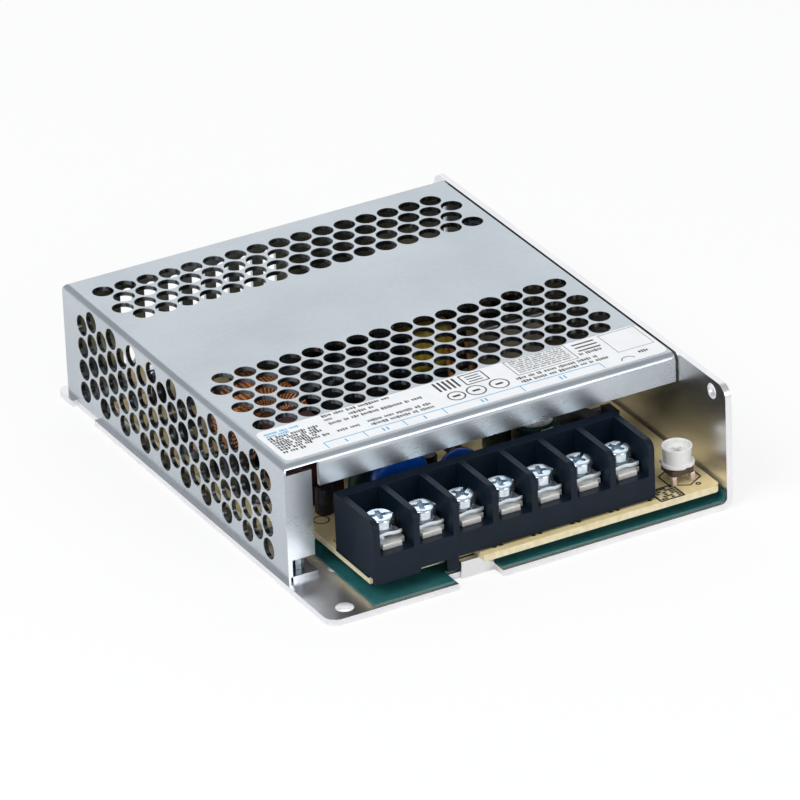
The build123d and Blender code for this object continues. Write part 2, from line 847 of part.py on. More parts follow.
with BuildPart() as disc_capacitors:
    for radius, place in ((large_disc_radius, large_disc_place), (small_disc_radius, small_disc_place)):
        disc_x, disc_y = front_spot(*place)
        with BuildSketch(Plane.XZ.offset(-disc_y)):
            with Locations((disc_x, disc_center_z(radius))):
                Circle(radius)
        extrude(amount=disc_thickness / 2, both=True)
        with BuildSketch(Plane.XY.offset(board_top)):
            with Locations(*lead_places(disc_x, disc_y)):
                Rectangle(disc_lead, disc_lead)
        extrude(amount=disc_stand + radius)
save(disc_capacitors, "disc_capacitors")

# Line choke: a ring core that stands on a base, with two coils
choke_x, choke_y = front_spot(*choke_place)
coil_outer = choke_outer_radius + choke_gap + choke_wire
coil_inner = choke_inner_radius - choke_gap - choke_wire
coil_width = choke_width + 2 * (choke_gap + choke_wire)
coil_gap_angle = 180 - choke_coil_angle
coil_reach = coil_outer * cos(radians(coil_gap_angle / 2))
choke_z = board_top + choke_base + choke_gap + coil_reach
choke_plane = Plane.XZ.offset(-choke_y)
with BuildPart() as line_choke_base:
    with BuildSketch(Plane.XY.offset(board_top)):
        with Locations((choke_x, choke_y)):
            Rectangle(2 * coil_outer, coil_width)
    extrude(amount=choke_base)
save(line_choke_base, "line_choke_base")

with BuildPart() as line_choke_core:
    with BuildSketch(choke_plane):
        with Locations((choke_x, choke_z)):
            Circle(choke_outer_radius)
            Circle(choke_inner_radius, mode=Mode.SUBTRACT)
    extrude(amount=choke_width / 2, both=True)
save(line_choke_core, "line_choke_core")

with BuildPart() as line_choke_winding:
    for side in (1, -1):
        with BuildSketch(Plane.YZ.offset(choke_x)):
            middle = choke_z + (choke_outer_radius + choke_inner_radius) / 2
            with Locations((choke_y, middle)):
                Rectangle(coil_width, coil_outer - coil_inner)
                Rectangle(
                    choke_width + 2 * choke_gap,
                    choke_outer_radius - choke_inner_radius + 2 * choke_gap,
                    mode=Mode.SUBTRACT,
                )
        revolve(
            axis=Axis((choke_x, choke_y, choke_z), (0, 1, 0)),
            revolution_arc=side * choke_coil_angle,
        )
save(line_choke_winding, "line_choke_winding")

# Bulk capacitor, lying on the board
bulk_x, bulk_y = rear_spot(*bulk_place)
with BuildPart() as bulk_capacitor:
    with BuildSketch(Plane.XZ.offset(-bulk_y)):
        with Locations((bulk_x, board_top + bulk_radius)):
            Circle(bulk_radius)
    extrude(amount=-bulk_length)
save(bulk_capacitor, "bulk_capacitor")


# Heatsinks, and the packages fastened to them: flat bodies with a metal tab and three legs
sink_x, sink_y = rear_spot(*primary_sink_place)
with BuildPart() as primary_heatsink:
    with BuildSketch(Plane.XY.offset(board_top)):
        with Locations((sink_x, sink_y)):
            Rectangle(primary_sink_width, sink_thickness, align=(Align.MIN, Align.MIN))
    extrude(amount=primary_sink_height)
save(primary_heatsink, "primary_heatsink")

with BuildPart() as bridge_rectifier:
    with BuildSketch(Plane.XY.offset(board_top + package_lift)):
        with Locations((bridge_x, sink_y)):
            Rectangle(bridge_size[0], bridge_size[1], align=(Align.CENTER, Align.MAX))
    extrude(amount=bridge_size[2])
    with BuildSketch(Plane.XY.offset(board_top)):
        with Locations((bridge_x, sink_y - bridge_size[1] / 2)):
            with GridLocations(2 * package_lead_spacing, 1, 4, 1):
                Rectangle(package_lead, package_lead)
    extrude(amount=package_lift)
save(bridge_rectifier, "bridge_rectifier")


output_x, output_y = rear_spot(*output_sink_place)
output_face_x = output_x + output_sink_width - sink_thickness
package_planes = {
    "power_transistor": Plane((package_x, sink_y, 0), x_dir=(1, 0, 0), z_dir=(0, -1, 0)),
    "output_diode": Plane((output_face_x, back - diode_inset, 0), x_dir=(0, -1, 0), z_dir=(-1, 0, 0)),
}
package_bottom = board_top + package_lift
for package_name, package_plane in package_planes.items():
    with BuildPart() as power_package:
        with BuildSketch(package_plane):
            with Locations((0, package_bottom)):
                Rectangle(package_size[0], package_size[2], align=(Align.CENTER, Align.MIN))
        extrude(amount=package_size[1])
        with BuildSketch(package_plane):
            with Locations((0, package_bottom + package_size[2])):
                Rectangle(package_size[0], package_tab[1], align=(Align.CENTER, Align.MIN))
        extrude(amount=package_tab[0])
        with BuildSketch(package_plane.offset(package_size[1] / 2)):
            with Locations((0, board_top + package_lift / 2)):
                with GridLocations(package_lead_spacing, 1, 3, 1):
                    Rectangle(package_lead, package_lift)
        extrude(amount=package_lead)
    save(power_package, package_name)

with BuildPart() as output_heatsink:
    with BuildSketch(Plane.XY.offset(board_top)):
        with Locations((output_x, output_y)):
            Rectangle(output_sink_width, sink_thickness, align=(Align.MIN, Align.MIN))
        with Locations((output_x + output_sink_width, output_y)):
            Rectangle(sink_thickness, output_sink_length, align=(Align.MAX, Align.MIN))
    extrude(amount=output_sink_height)
save(output_heatsink, "output_heatsink")


# Transformer: core, bobbin, taped winding and its flying leads
trans_x, trans_y = rear_spot(*transformer_place)
core_bottom = board_top + core_lift
core_height = inner_top - core_top_gap - core_bottom
core_leg = core_leg_share * core_height
core_center_leg = core_center_share * core_height
core_z = core_bottom + core_height / 2
window = core_width - 2 * core_yoke
with BuildPart() as transformer_core:
    with BuildSketch(Plane.XZ.offset(-trans_y)):
        with Locations((trans_x, core_z)):
            Rectangle(core_width, core_height)
            Rectangle(window, core_height - 2 * core_leg, mode=Mode.SUBTRACT)
            Rectangle(window, core_center_leg)
    extrude(amount=core_depth / 2, both=True)
save(transformer_core, "transformer_core")

tube_height = core_center_leg + 2 * fit + 2 * bobbin_wall
tube_depth = core_depth + 2 * fit + 2 * bobbin_wall
cheek_height = core_height - 2 * core_leg - 2 * fit
cheek_x = window / 2 - fit - bobbin_wall / 2
rail_y = winding_depth / 2 + rail_width / 2
with BuildPart() as transformer_bobbin:
    with BuildSketch(Plane.YZ.offset(trans_x)):
        with Locations((trans_y, core_z)):
            Rectangle(tube_depth, tube_height)
            Rectangle(core_depth + 2 * fit, core_center_leg + 2 * fit, mode=Mode.SUBTRACT)
    extrude(amount=window / 2 - fit, both=True)
    for side in (-1, 1):
        with BuildSketch(Plane.YZ.offset(trans_x + side * cheek_x)):
            with Locations((trans_y, core_z)):
                Rectangle(winding_depth + 2 * bobbin_wall, cheek_height)
            for end in (-1, 1):
                with Locations((trans_y + end * rail_y, board_top)):
                    Rectangle(rail_width, core_height, align=(Align.CENTER, Align.MIN))
            with Locations((trans_y, core_z)):
                Rectangle(core_depth + 2 * fit, core_center_leg + 2 * fit, mode=Mode.SUBTRACT)
        extrude(amount=bobbin_wall / 2, both=True)
    with BuildSketch(Plane.XY.offset(board_top)):
        with Locations((trans_x, trans_y - rail_y), (trans_x, trans_y + rail_y)):
            Rectangle(window - 2 * fit, rail_width)
    extrude(amount=rail_height)
save(transformer_bobbin, "transformer_bobbin")

winding_length = window - 2 * (fit + bobbin_wall + choke_gap)
with BuildPart() as transformer_winding:
    with BuildSketch(Plane.YZ.offset(trans_x)):
        with Locations((trans_y, core_z)):
            RectangleRounded(winding_depth, cheek_height, cheek_height / 4)
            Rectangle(tube_depth + 2 * fit, tube_height + 2 * fit, mode=Mode.SUBTRACT)
    extrude(amount=winding_length / 2, both=True)
save(transformer_winding, "transformer_winding")

lead_start_y = trans_y - winding_depth / 2 - lead_radius - choke_gap
with BuildPart() as transformer_leads:
    for offset_x in lead_offsets:
        start = Vector(trans_x + offset_x, lead_start_y, board_top + lead_top)
        end = Vector(trans_x + offset_x + lead_radius, lead_start_y - lead_slant, board_top)
        with BuildLine():
            wire = Line(end, start)
        with BuildSketch(Plane(origin=end, z_dir=start - end)):
            Circle(lead_radius)
        sweep(path=wire)
    split(bisect_by=Plane.XY.offset(board_top), keep=Keep.TOP)
save(transformer_leads, "transformer_leads")


# Output side: capacitors, inductor, couplers and the control chip
with BuildPart() as output_capacitors:
    with BuildSketch(Plane.XY.offset(board_top)):
        with Locations(*[front_spot(*place) for place in output_capacitor_places]):
            Circle(output_capacitor_radius)
    extrude(amount=output_capacitor_height)
save(output_capacitors, "output_capacitors")

with BuildPart() as output_inductor:
    with BuildSketch(Plane.XY.offset(board_top)):
        with Locations(front_spot(*inductor_place)):
            Circle(inductor_radius)
            Circle(inductor_hole_radius, mode=Mode.SUBTRACT)
    extrude(amount=inductor_height)
save(output_inductor, "output_inductor")

with BuildPart() as optocouplers:
    with BuildSketch(Plane.XY.offset(board_top)):
        with Locations(*[rear_spot(*place) for place in coupler_places]):
            Rectangle(coupler_size[0], coupler_size[1])
    extrude(amount=coupler_size[2])
save(optocouplers, "optocouplers")

with BuildPart() as control_chip:
    with BuildSketch(Plane.XY.offset(board_top)):
        with Locations(rear_spot(*chip_place)):
            Rectangle(chip_size[0], chip_size[1])
    extrude(amount=chip_size[2])
save(control_chip, "control_chip")
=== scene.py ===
# %% [markdown]
# # Dressing an enclosed power supply
# The solid model already holds every piece at its real size. This script loads it, gives each piece the
# finish of the real one, and rebuilds in Blender the pieces whose small details make the look: the punched
# cover, the terminal screws, the printed label, the trimmer and the parts inside. All lengths are in
# metres, and `mm` turns the sizes that a drawing would give into metres.

# %% Load the frame
from math import atan2, cos, pi, radians, sin, sqrt
from random import Random

import bmesh
import bpy
from mathutils import Matrix, Vector
from mathutils.bvhtree import BVHTree


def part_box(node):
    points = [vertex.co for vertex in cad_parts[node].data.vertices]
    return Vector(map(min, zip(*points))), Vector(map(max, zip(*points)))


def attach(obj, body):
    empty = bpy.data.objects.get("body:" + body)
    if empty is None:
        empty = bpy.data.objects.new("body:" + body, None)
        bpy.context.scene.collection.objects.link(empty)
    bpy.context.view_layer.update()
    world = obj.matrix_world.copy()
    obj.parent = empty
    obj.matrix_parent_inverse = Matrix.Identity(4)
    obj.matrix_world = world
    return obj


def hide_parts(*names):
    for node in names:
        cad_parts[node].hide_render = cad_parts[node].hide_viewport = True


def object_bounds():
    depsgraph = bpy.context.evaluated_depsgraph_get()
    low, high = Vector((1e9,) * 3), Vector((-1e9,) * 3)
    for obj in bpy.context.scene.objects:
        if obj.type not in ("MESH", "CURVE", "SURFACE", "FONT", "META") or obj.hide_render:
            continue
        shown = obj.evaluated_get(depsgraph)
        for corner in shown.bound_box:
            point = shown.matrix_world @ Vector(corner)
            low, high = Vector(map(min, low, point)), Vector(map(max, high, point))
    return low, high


mm = 0.001
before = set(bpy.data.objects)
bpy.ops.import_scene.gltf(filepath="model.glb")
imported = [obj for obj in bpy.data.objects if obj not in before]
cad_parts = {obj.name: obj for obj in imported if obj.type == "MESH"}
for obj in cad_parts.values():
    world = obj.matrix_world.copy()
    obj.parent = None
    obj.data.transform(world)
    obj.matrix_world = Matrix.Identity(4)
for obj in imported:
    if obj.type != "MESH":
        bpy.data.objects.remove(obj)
cad_low, cad_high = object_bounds()
print("frame from", [round(v / mm, 2) for v in cad_low], "to", [round(v / mm, 2) for v in cad_high])


def spot(x, y, z=0.0):
    """A point given in millimetres from the chassis' left edge, front edge and underside."""
    return Vector((cad_low.x + x * mm, cad_low.y + y * mm, z * mm))


# %% [markdown]
# ## The camera
# A product photograph is taken from far away with a long lens, so that parallel edges stay almost
# parallel. The camera stands 1.6 m off, and a slight roll matches the tilt of the picture.

# %% Place the camera
camera_place = Vector((-0.6801, -1.2893, 0.7687))
look_at = Vector((0.00195, -0.00217, 0.01257))
camera_roll = radians(-2.38)
camera_data = bpy.data.cameras.new("portrait_camera")
camera_data.lens = 341.2
camera_data.sensor_width = 36
camera_data.clip_end = 20
camera = bpy.data.objects.new("portrait_camera", camera_data)
bpy.context.scene.collection.objects.link(camera)
aim = (look_at - camera_place).to_track_quat("-Z", "Y").to_matrix().to_4x4()
camera.matrix_world = Matrix.Translation(camera_place) @ aim @ Matrix.Rotation(camera_roll, 4, "Z")
bpy.context.scene.camera = camera
print("camera distance", round((look_at - camera_place).length, 3), "m")


# %% [markdown]
# ## Light, floor and backdrop
# Bare metal shows what stands around it. A pale world gives the sheets their even grey, a broad lamp from
# the upper left draws the shadows, and a weaker one from the front lifts the dark terminal block. A third
# stands behind the unit, in the place that the top of the cover mirrors, and sets how bright the top looks.

# %% Set the light
scene = bpy.context.scene
scene.view_settings.view_transform = "Standard"
world = bpy.data.worlds.new("pale_studio")
scene.world = world
world.use_nodes = True
sky = world.node_tree.nodes["Background"]
sky.inputs["Color"].default_value = (0.93, 0.96, 1.0, 1)
sky.inputs["Strength"].default_value = 0.52


def soft_lamp(name, place, aim_at, size, watts):
    """A square area lamp at a place, facing a point."""
    lamp = bpy.data.lights.new(name, "AREA")
    lamp.size = size
    lamp.energy = watts
    holder = bpy.data.objects.new(name, lamp)
    scene.collection.objects.link(holder)
    turn = (Vector(aim_at) - Vector(place)).to_track_quat("-Z", "Y").to_matrix().to_4x4()
    holder.matrix_world = Matrix.Translation(Vector(place)) @ turn


soft_lamp("key_lamp", (-0.75, -0.35, 1.0), (0, 0, 0), 0.7, 8.9)
soft_lamp("front_lamp", (0.35, -1.1, 0.55), (0, 0, 0.01), 0.5, 3)
soft_lamp("rear_lamp", (0.62, 1.2, 0.70), (0, 0, 0.01), 1.3, 2.8)

# %% [markdown]
# ## Materials as sums
# A finish is a few patterns added, multiplied and mixed. `Wire` wraps one output of a node, so that a
# pattern is written as a sum, and each operator adds the Math node that does it. `Finish` holds one
# material: `node` adds any node, and `surface` sets the main shader.

# %% The material helpers


class Wire:
    """One value inside a material. Python's operators on it add Math nodes."""

    def __init__(self, finish, socket):
        self.finish = finish
        self.socket = socket

    def calc(self, operation, *values):
        return self.finish.calc(operation, *values)

    def __add__(self, other):
        return self.calc("ADD", self, other)

    __radd__ = __add__

    def __sub__(self, other):
        return self.calc("SUBTRACT", self, other)

    def __rsub__(self, other):
        return self.calc("SUBTRACT", other, self)

    def __mul__(self, other):
        return self.calc("MULTIPLY", self, other)

    __rmul__ = __mul__

    def __lt__(self, other):
        return self.calc("LESS_THAN", self, other)

    def __gt__(self, other):
        return self.calc("GREATER_THAN", self, other)

    def __abs__(self):
        return self.calc("ABSOLUTE", self)


class Finish:
    """One material with a main shader, its patterns read from the object's own coordinates."""

    def __init__(self, name):
        self.material = bpy.data.materials.new(name)
        self.material.use_nodes = True
        self.tree = self.material.node_tree
        self.shader = self.tree.nodes["Principled BSDF"]

    def node(self, kind, settings=None, inputs=None, output=0):
        """Adds a node, sets it up, feeds its sockets and gives back one of its outputs."""
        made = self.tree.nodes.new(kind)
        for key, value in (settings or {}).items():
            if key == "stops":
                set_stops(made.color_ramp, value)
            else:
                setattr(made, key, value)
        for key, value in (inputs or {}).items():
            self.feed(made.inputs[key], value)
        return Wire(self, made.outputs[output])

    def feed(self, socket, value):
        """Links a wire to a socket, or sets the socket to a number or a colour."""
        if isinstance(value, Wire):
            self.tree.links.new(value.socket, socket)
        elif socket.type == "RGBA" and len(value) == 3:
            socket.default_value = (*value, 1)
        else:
            socket.default_value = value

    def calc(self, operation, *values):
        """One step of arithmetic on wires and numbers."""
        return self.node("ShaderNodeMath", {"operation": operation}, dict(enumerate(values)))

    def place(self):
        """The point being shaded, in the object's own metres."""
        return self.node("ShaderNodeTexCoord", output="Object")

    def axes(self):
        """The same point as three separate values."""
        split = self.node("ShaderNodeSeparateXYZ", inputs={"Vector": self.place()})
        return [Wire(self, out) for out in split.socket.node.outputs]

    def stretched(self, scale):
        """The point, scaled along each axis, so that a pattern runs in one direction."""
        return self.node("ShaderNodeMapping", inputs={"Vector": self.place(), "Scale": scale})

    def noise(self, scale, detail=3.0, at=None, roughness=0.5):
        """Soft noise from 0 to 1; scale is in features a metre."""
        inputs = {"Vector": at or self.place(), "Scale": scale, "Detail": detail, "Roughness": roughness}
        return self.node("ShaderNodeTexNoise", None, inputs)

    def ramp(self, value, stops):
        """A colour for each value, blended between stops of (value, colour)."""
        return self.node("ShaderNodeValToRGB", {"stops": stops}, {"Fac": value})

    def mix(self, mask, first, second):
        """The first colour where the mask is 0, and the second where it is 1."""
        colour_a, colour_b, colour_result = 6, 7, 2
        inputs = {"Factor": mask, colour_a: first, colour_b: second}
        return self.node("ShaderNodeMix", {"data_type": "RGBA"}, inputs, colour_result)

    def bump(self, height, depth, strength=1.0):
        """Surface relief from a height of 0 to 1, whose full depth is in metres."""
        inputs = {"Height": height, "Distance": depth, "Strength": strength}
        return self.node("ShaderNodeBump", None, inputs)

    def surface(self, **sockets):
        """Sets the main shader's sockets; an underscore stands for a space."""
        for key, value in sockets.items():
            self.feed(self.shader.inputs[key.replace("_", " ")], value)
        return self.material


def set_stops(ramp, stops):
    """Sets a colour ramp to the given (position, colour) stops."""
    while len(ramp.elements) < len(stops):
        ramp.elements.new(1.0)
    for element, (position, colour) in zip(ramp.elements, stops):
        element.position = position
        element.color = (*colour, 1)


print("helpers ready")

# %% [markdown]
# ## Sheet metals
# The cover is coated steel sheet and the chassis is aluminium. Both are satin: rolled sheet has a fine
# grain in one direction, faint clouds in its colour, and a slightly uneven gloss. The clouds are partly an
# uneven tone and partly painted reflection: soft lighter and darker blotches put into the colour. The grain
# is noise that is stretched along the rolling direction. They are smooth enough to mirror, softly, what
# stands before them, which is where the blotches on the front lip come from, besides the painted ones. The
# walls of the cover's holes and its inner side lie in the dark of the box, so a mask paints shade on them.

# %% Cover and chassis finishes
cover_low, cover_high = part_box("cover")
past_bend = 2.5 * mm
past_face = 0.15 * mm


def sheet_metal(name, tone, dark, grain_scale, gloss, paint_hole_shade=False):
    """Satin sheet: a tone with clouds, partly painted reflection, and grain, and a roughness that wanders
    around gloss.
    """
    finish = Finish(name)
    clouds = finish.noise(38, 4)
    grain = finish.noise(1, 5, finish.stretched(grain_scale), 0.65)
    mottle = finish.noise(900, 2)
    # Painted reflection: the clouds put soft lighter and darker blotches into the colour, besides an uneven
    # tone.
    shade = clouds * 0.7 + grain * 0.15 + mottle * 0.15
    colour = finish.ramp(shade, [(0.36, dark), (0.62, tone)])
    roughness = gloss + (clouds - 0.5) * 0.1 + (grain - 0.5) * 0.03
    # Painted shade: the hole walls and the sheet's inner side, which lie in the dark of the box, get a
    # darker colour.
    if paint_hole_shade:
        x, y, z = finish.axes()
        side, front = cover_low.x, cover_low.y
        rear, top = cover_high.y, cover_high.z
        between = (y > front + past_bend) * (y < rear - past_bend)
        under_top = (z < top - past_face) * (z > top - past_bend) * (x > side + past_bend)
        behind_side = (x > side + past_face) * (x < side + past_bend) * (z < top - past_bend)
        shadow_tone = tuple(value * 0.3 for value in dark)
        colour = finish.mix(between * (under_top + behind_side), colour, shadow_tone)
    waves = finish.noise(75, 1)
    relief = finish.bump(waves, 0.18 * mm, 0.3)
    return finish.surface(Base_Color=colour, Metallic=1.0, Roughness=roughness, Normal=relief)


along_x, along_y, upright = (60, 700, 700), (700, 60, 700), (60, 60, 900)
cover_steel = sheet_metal("cover_steel", (0.58, 0.625, 0.66), (0.50, 0.545, 0.58), along_x, 0.27, True)
chassis_aluminium = sheet_metal("chassis_aluminium", (0.94, 0.93, 0.94), (0.81, 0.80, 0.81), along_y, 0.30)
sink_aluminium = sheet_metal("sink_aluminium", (0.62, 0.63, 0.64), (0.48, 0.49, 0.5), upright, 0.35)
print("sheet metals", cover_steel.name, chassis_aluminium.name, sink_aluminium.name)

# %% [markdown]
# ## Plated steel, contacts and wire
# Zinc-plated screws are bright with a blue tint, the contact plates are tinned and a little warmer, and
# the transformer's leads are copper. A small-scale noise keeps each from looking like a mirror, and a dull
# plating is less metallic than a bare one.

# %% Small metals


def plated(name, tone, dark, gloss, spots=1400, depth=0.004, bare=0.85):
    """Plated metal: small patches of two tones, with uneven gloss."""
    finish = Finish(name)
    patches = finish.noise(spots, 3)
    colour = finish.ramp(patches, [(0.35, dark), (0.65, tone)])
    roughness = gloss + (patches - 0.5) * 0.2
    relief = finish.bump(patches, depth * mm)
    return finish.surface(Base_Color=colour, Metallic=bare, Roughness=roughness, Normal=relief)


zinc = plated("zinc", (0.82, 0.89, 0.94), (0.56, 0.64, 0.72), 0.19, 900, 0.012, 0.96)
washer_zinc = plated("washer_zinc", (0.86, 0.92, 0.95), (0.70, 0.78, 0.83), 0.32, 700, 0.012, 0.7)
tinned = plated("tinned", (0.97, 0.95, 0.91), (0.88, 0.86, 0.81), 0.33, bare=0.5)
pin_metal = plated("pin_metal", (0.90, 0.76, 0.72), (0.74, 0.58, 0.54), 0.35, bare=0.6)
copper = plated("copper", (0.92, 0.46, 0.18), (0.66, 0.27, 0.09), 0.3, 700, bare=0.6)
can_metal = plated("can_metal", (0.80, 0.78, 0.79), (0.60, 0.58, 0.60), 0.3)
print("small metals ready")

# %% [markdown]
# ## Plastics, laminate and ceramics
# A moulded or dipped part has one colour, but never an even one: its gloss wanders, and a fine relief
# breaks up the highlights. One function makes them all from a tone, a darker tone and a gloss. A matt
# print or a dark resin also gets a weaker mirror, through the shader's specular level.

# %% Plain parts


def moulded(name, tone, dark, gloss, relief_depth=0.01, scale=260, coat=0.0, mirror=0.5):
    """Plastic, resin or ceramic with a slightly uneven tone, gloss and surface."""
    finish = Finish(name)
    clouds = finish.noise(scale, 4)
    skin_grain = finish.noise(5200, 2)
    colour = finish.ramp(clouds * 0.7 + skin_grain * 0.3, [(0.35, dark), (0.65, tone)])
    roughness = gloss + (clouds - 0.5) * 0.15
    relief = finish.bump(skin_grain, relief_depth * mm)
    return finish.surface(
        Base_Color=colour, Roughness=roughness, Normal=relief, Coat_Weight=coat, Specular_IOR_Level=mirror
    )


block_resin = moulded("block_resin", (0.0045, 0.012, 0.024), (0.0025, 0.008, 0.016), 0.45, mirror=0.2)
film_green = moulded("film_green", (0.020, 0.130, 0.140), (0.012, 0.092, 0.100), 0.2, 0.004)
trimmer_nylon = moulded("trimmer_nylon", (0.84, 0.84, 0.82), (0.72, 0.72, 0.70), 0.38)
trimmer_brown = moulded("trimmer_brown", (0.11, 0.06, 0.042), (0.06, 0.032, 0.022), 0.5)
box_red = moulded("box_red", (0.070, 0.016, 0.018), (0.038, 0.009, 0.010), 0.4)
dipped_blue = moulded("dipped_blue", (0.008, 0.11, 0.60), (0.004, 0.065, 0.42), 0.2, 0.02, 500, 0.4)
dipped_green = moulded("dipped_green", (0.02, 0.085, 0.05), (0.01, 0.045, 0.028), 0.4, 0.02, 500)
black_epoxy = moulded("black_epoxy", (0.016, 0.016, 0.018), (0.008, 0.008, 0.009), 0.5)
resistor_coat = moulded("resistor_coat", (0.12, 0.15, 0.15), (0.06, 0.08, 0.085), 0.45)
ferrite = moulded("ferrite", (0.035, 0.034, 0.036), (0.018, 0.018, 0.02), 0.6, 0.03, 1500)
label_white = moulded("label_white", (0.92, 0.925, 0.93), (0.87, 0.875, 0.88), 0.6, 0.003, mirror=0.25)
ink_blue = moulded("ink_blue", (0.05, 0.46, 0.80), (0.04, 0.40, 0.72), 0.6, mirror=0.2)
ink_grey = moulded("ink_grey", (0.055, 0.058, 0.06), (0.03, 0.032, 0.035), 0.6, mirror=0.2)
legend_ink = moulded("legend_ink", (0.030, 0.030, 0.028), (0.018, 0.018, 0.016), 0.6, mirror=0.3)
print("plain finishes ready")

# %% [markdown]
# The remaining finishes follow the shape of their piece. The board is paler at its cut edge than on its
# face, the tape lies in layers whose edges show, wire lies in turns around a ring, with painted shade in the
# grooves between turns and a painted highlight on each crest, and a capacitor's sleeve has a pale stripe
# down one side. Each is a mask from the place of the point, written as a sum.

# %% Finishes that follow a shape
board_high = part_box("circuit_board")[1]
laminate_finish = Finish("laminate")
x, y, z = laminate_finish.axes()
on_top = z > board_high.z - 0.05 * mm
weave = laminate_finish.noise(700, 3)
stains = laminate_finish.noise(90, 4)
tan_stops = [(0.35, (0.68, 0.55, 0.27)), (0.65, (0.84, 0.69, 0.38))]
tan = laminate_finish.ramp(weave * 0.4 + stains * 0.6, tan_stops)
cream = laminate_finish.ramp(weave, [(0.3, (0.72, 0.62, 0.38)), (0.7, (0.86, 0.77, 0.52))])
laminate = laminate_finish.surface(
    Base_Color=laminate_finish.mix(on_top, cream, tan), Roughness=0.42 + weave * 0.12,
    Normal=laminate_finish.bump(weave, 0.01 * mm),
)

tape_finish = Finish("tape_yellow")
x, y, z = tape_finish.axes()
layer_pitch = 1.6 * mm
layers = tape_finish.calc("SINE", (x + z * 0.25) * (2 * pi / layer_pitch))
creases = tape_finish.noise(420, 3)
tape_colour = tape_finish.ramp(
    creases * 0.8 + layers * 0.08 + 0.1, [(0.3, (0.42, 0.30, 0.03)), (0.65, (0.66, 0.50, 0.06))]
)
tape_yellow = tape_finish.surface(
    Base_Color=tape_colour, Roughness=0.2 + creases * 0.15,
    Normal=tape_finish.bump(layers * 0.5 + creases, 0.12 * mm),
)

choke_low, choke_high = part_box("line_choke_core")
choke_middle = (choke_low + choke_high) / 2
wire_finish = Finish("wound_wire")
x, y, z = wire_finish.axes()
around = wire_finish.calc("ARCTAN2", z - choke_middle.z, x - choke_middle.x)
choke_turns = 58
turns = wire_finish.calc("SINE", around * choke_turns)
wire_spots = wire_finish.noise(600, 3)
# Painted shade and highlight: the turns' wave makes the colour dark brown in the grooves between turns and
# bright orange on their crests; the bump gives them real relief.
wire_colour_and_painted_shade = wire_finish.ramp(
    turns * 0.35 + wire_spots * 0.3 + 0.35, [(0.1, (0.30, 0.085, 0.03)), (0.6, (0.92, 0.36, 0.13))]
)
wound_wire = wire_finish.surface(
    Base_Color=wire_colour_and_painted_shade, Metallic=0.35, Roughness=0.3 + wire_spots * 0.1,
    Normal=wire_finish.bump(turns * 0.5 + 0.5, 0.4 * mm),
)
dash_pitch = 3.4 * mm


def sleeve_finish(name, tone, stripe_tone, middles, stripe_width):
    """A shrunk sleeve with a pale stripe at the front of every upright can."""
    finish = Finish(name)
    x, y, z = finish.axes()
    stripe = 0.0
    for middle in middles:
        beside = abs(x - middle.x) < stripe_width
        stripe = beside * (y < middle.y) + stripe
    creases = finish.noise(300, 3)
    base = finish.ramp(creases, [(0.35, tuple(v * 0.6 for v in tone)), (0.65, tone)])
    dashes = finish.calc("SINE", z * (2 * pi / dash_pitch)) > 0.3
    colour = finish.mix(stripe * dashes, base, stripe_tone)
    relief = finish.bump(creases, 0.02 * mm)
    return finish.surface(Base_Color=colour, Roughness=0.22 + creases * 0.1, Normal=relief)


can_places = [spot(65.0, 27.0), spot(66.0, 42.0), spot(79.0, 44.0)]
sleeve = sleeve_finish("sleeve", (0.008, 0.035, 0.030), (0.62, 0.66, 0.66), can_places, 1.0 * mm)
bulk_sleeve = sleeve_finish("bulk_sleeve", (0.012, 0.013, 0.020), (0.45, 0.47, 0.50), [], 0.0)
print("shaped finishes ready")

# %% [markdown]
# ## Rounding the solid model's own pieces
# A solid model has knife-sharp edges, and real ones catch the light on a narrow round. The pieces whose
# shape is right are copied, their triangles joined into whole faces, and their sharp edges bevelled. Large
# flat faces then keep their own direction, because each corner's normal is weighted by the area of its
# faces. Without that, a flat sheet beside a round edge gets streaks.

# %% The piece helpers


def finished_mesh(piece):
    """The mesh of an object with its modifiers done."""
    graph = bpy.context.evaluated_depsgraph_get()
    return bpy.data.meshes.new_from_object(piece.evaluated_get(graph))


def as_piece(shape, name, material, body="unit", stands_for=(), smooth_below=35):
    """Makes a finished object from a bmesh, lets it ride on a body and hides the pieces it stands for."""
    mesh = bpy.data.meshes.new(name)
    shape.to_mesh(mesh)
    shape.free()
    mesh.shade_smooth()
    mesh.set_sharp_from_angle(angle=radians(smooth_below))
    mesh.materials.append(material)
    piece = bpy.data.objects.new(name, mesh)
    scene.collection.objects.link(piece)
    flatten = piece.modifiers.new("flatten", "WEIGHTED_NORMAL")
    flatten.keep_sharp = True
    flat_mesh = finished_mesh(piece)
    piece.modifiers.clear()
    piece.data = flat_mesh
    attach(piece, body)
    if stands_for:
        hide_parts(*stands_for)
    return piece


def sharp_edges(shape, angle):
    """The edges where two faces meet at more than an angle."""
    return [e for e in shape.edges if len(e.link_faces) == 2 and e.calc_face_angle(0) > radians(angle)]


def soften(shape, width, segments=2, angle=30, edges=None):
    """Rounds every sharp edge of a shape, or the edges it is given."""
    bmesh.ops.bevel(
        shape, geom=edges or sharp_edges(shape, angle), offset=width, offset_type="OFFSET",
        segments=segments, profile=0.5, affect="EDGES", clamp_overlap=True, material=-1,
    )


def joined_copy(node):
    """A copy of a solid model's piece with its loose triangles joined into whole faces."""
    shape = bmesh.new()
    shape.from_mesh(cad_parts[node].data)
    bmesh.ops.remove_doubles(shape, verts=shape.verts, dist=0.0005 * mm)
    bmesh.ops.dissolve_limit(shape, angle_limit=radians(0.5), verts=shape.verts, edges=shape.edges)
    return shape


def rounded(node, material, width):
    """Stands in for a node with a copy whose edges are rounded."""
    shape = joined_copy(node)
    soften(shape, width)
    as_piece(shape, "rounded_" + node, material, "unit", (node,))


print("piece helpers ready")

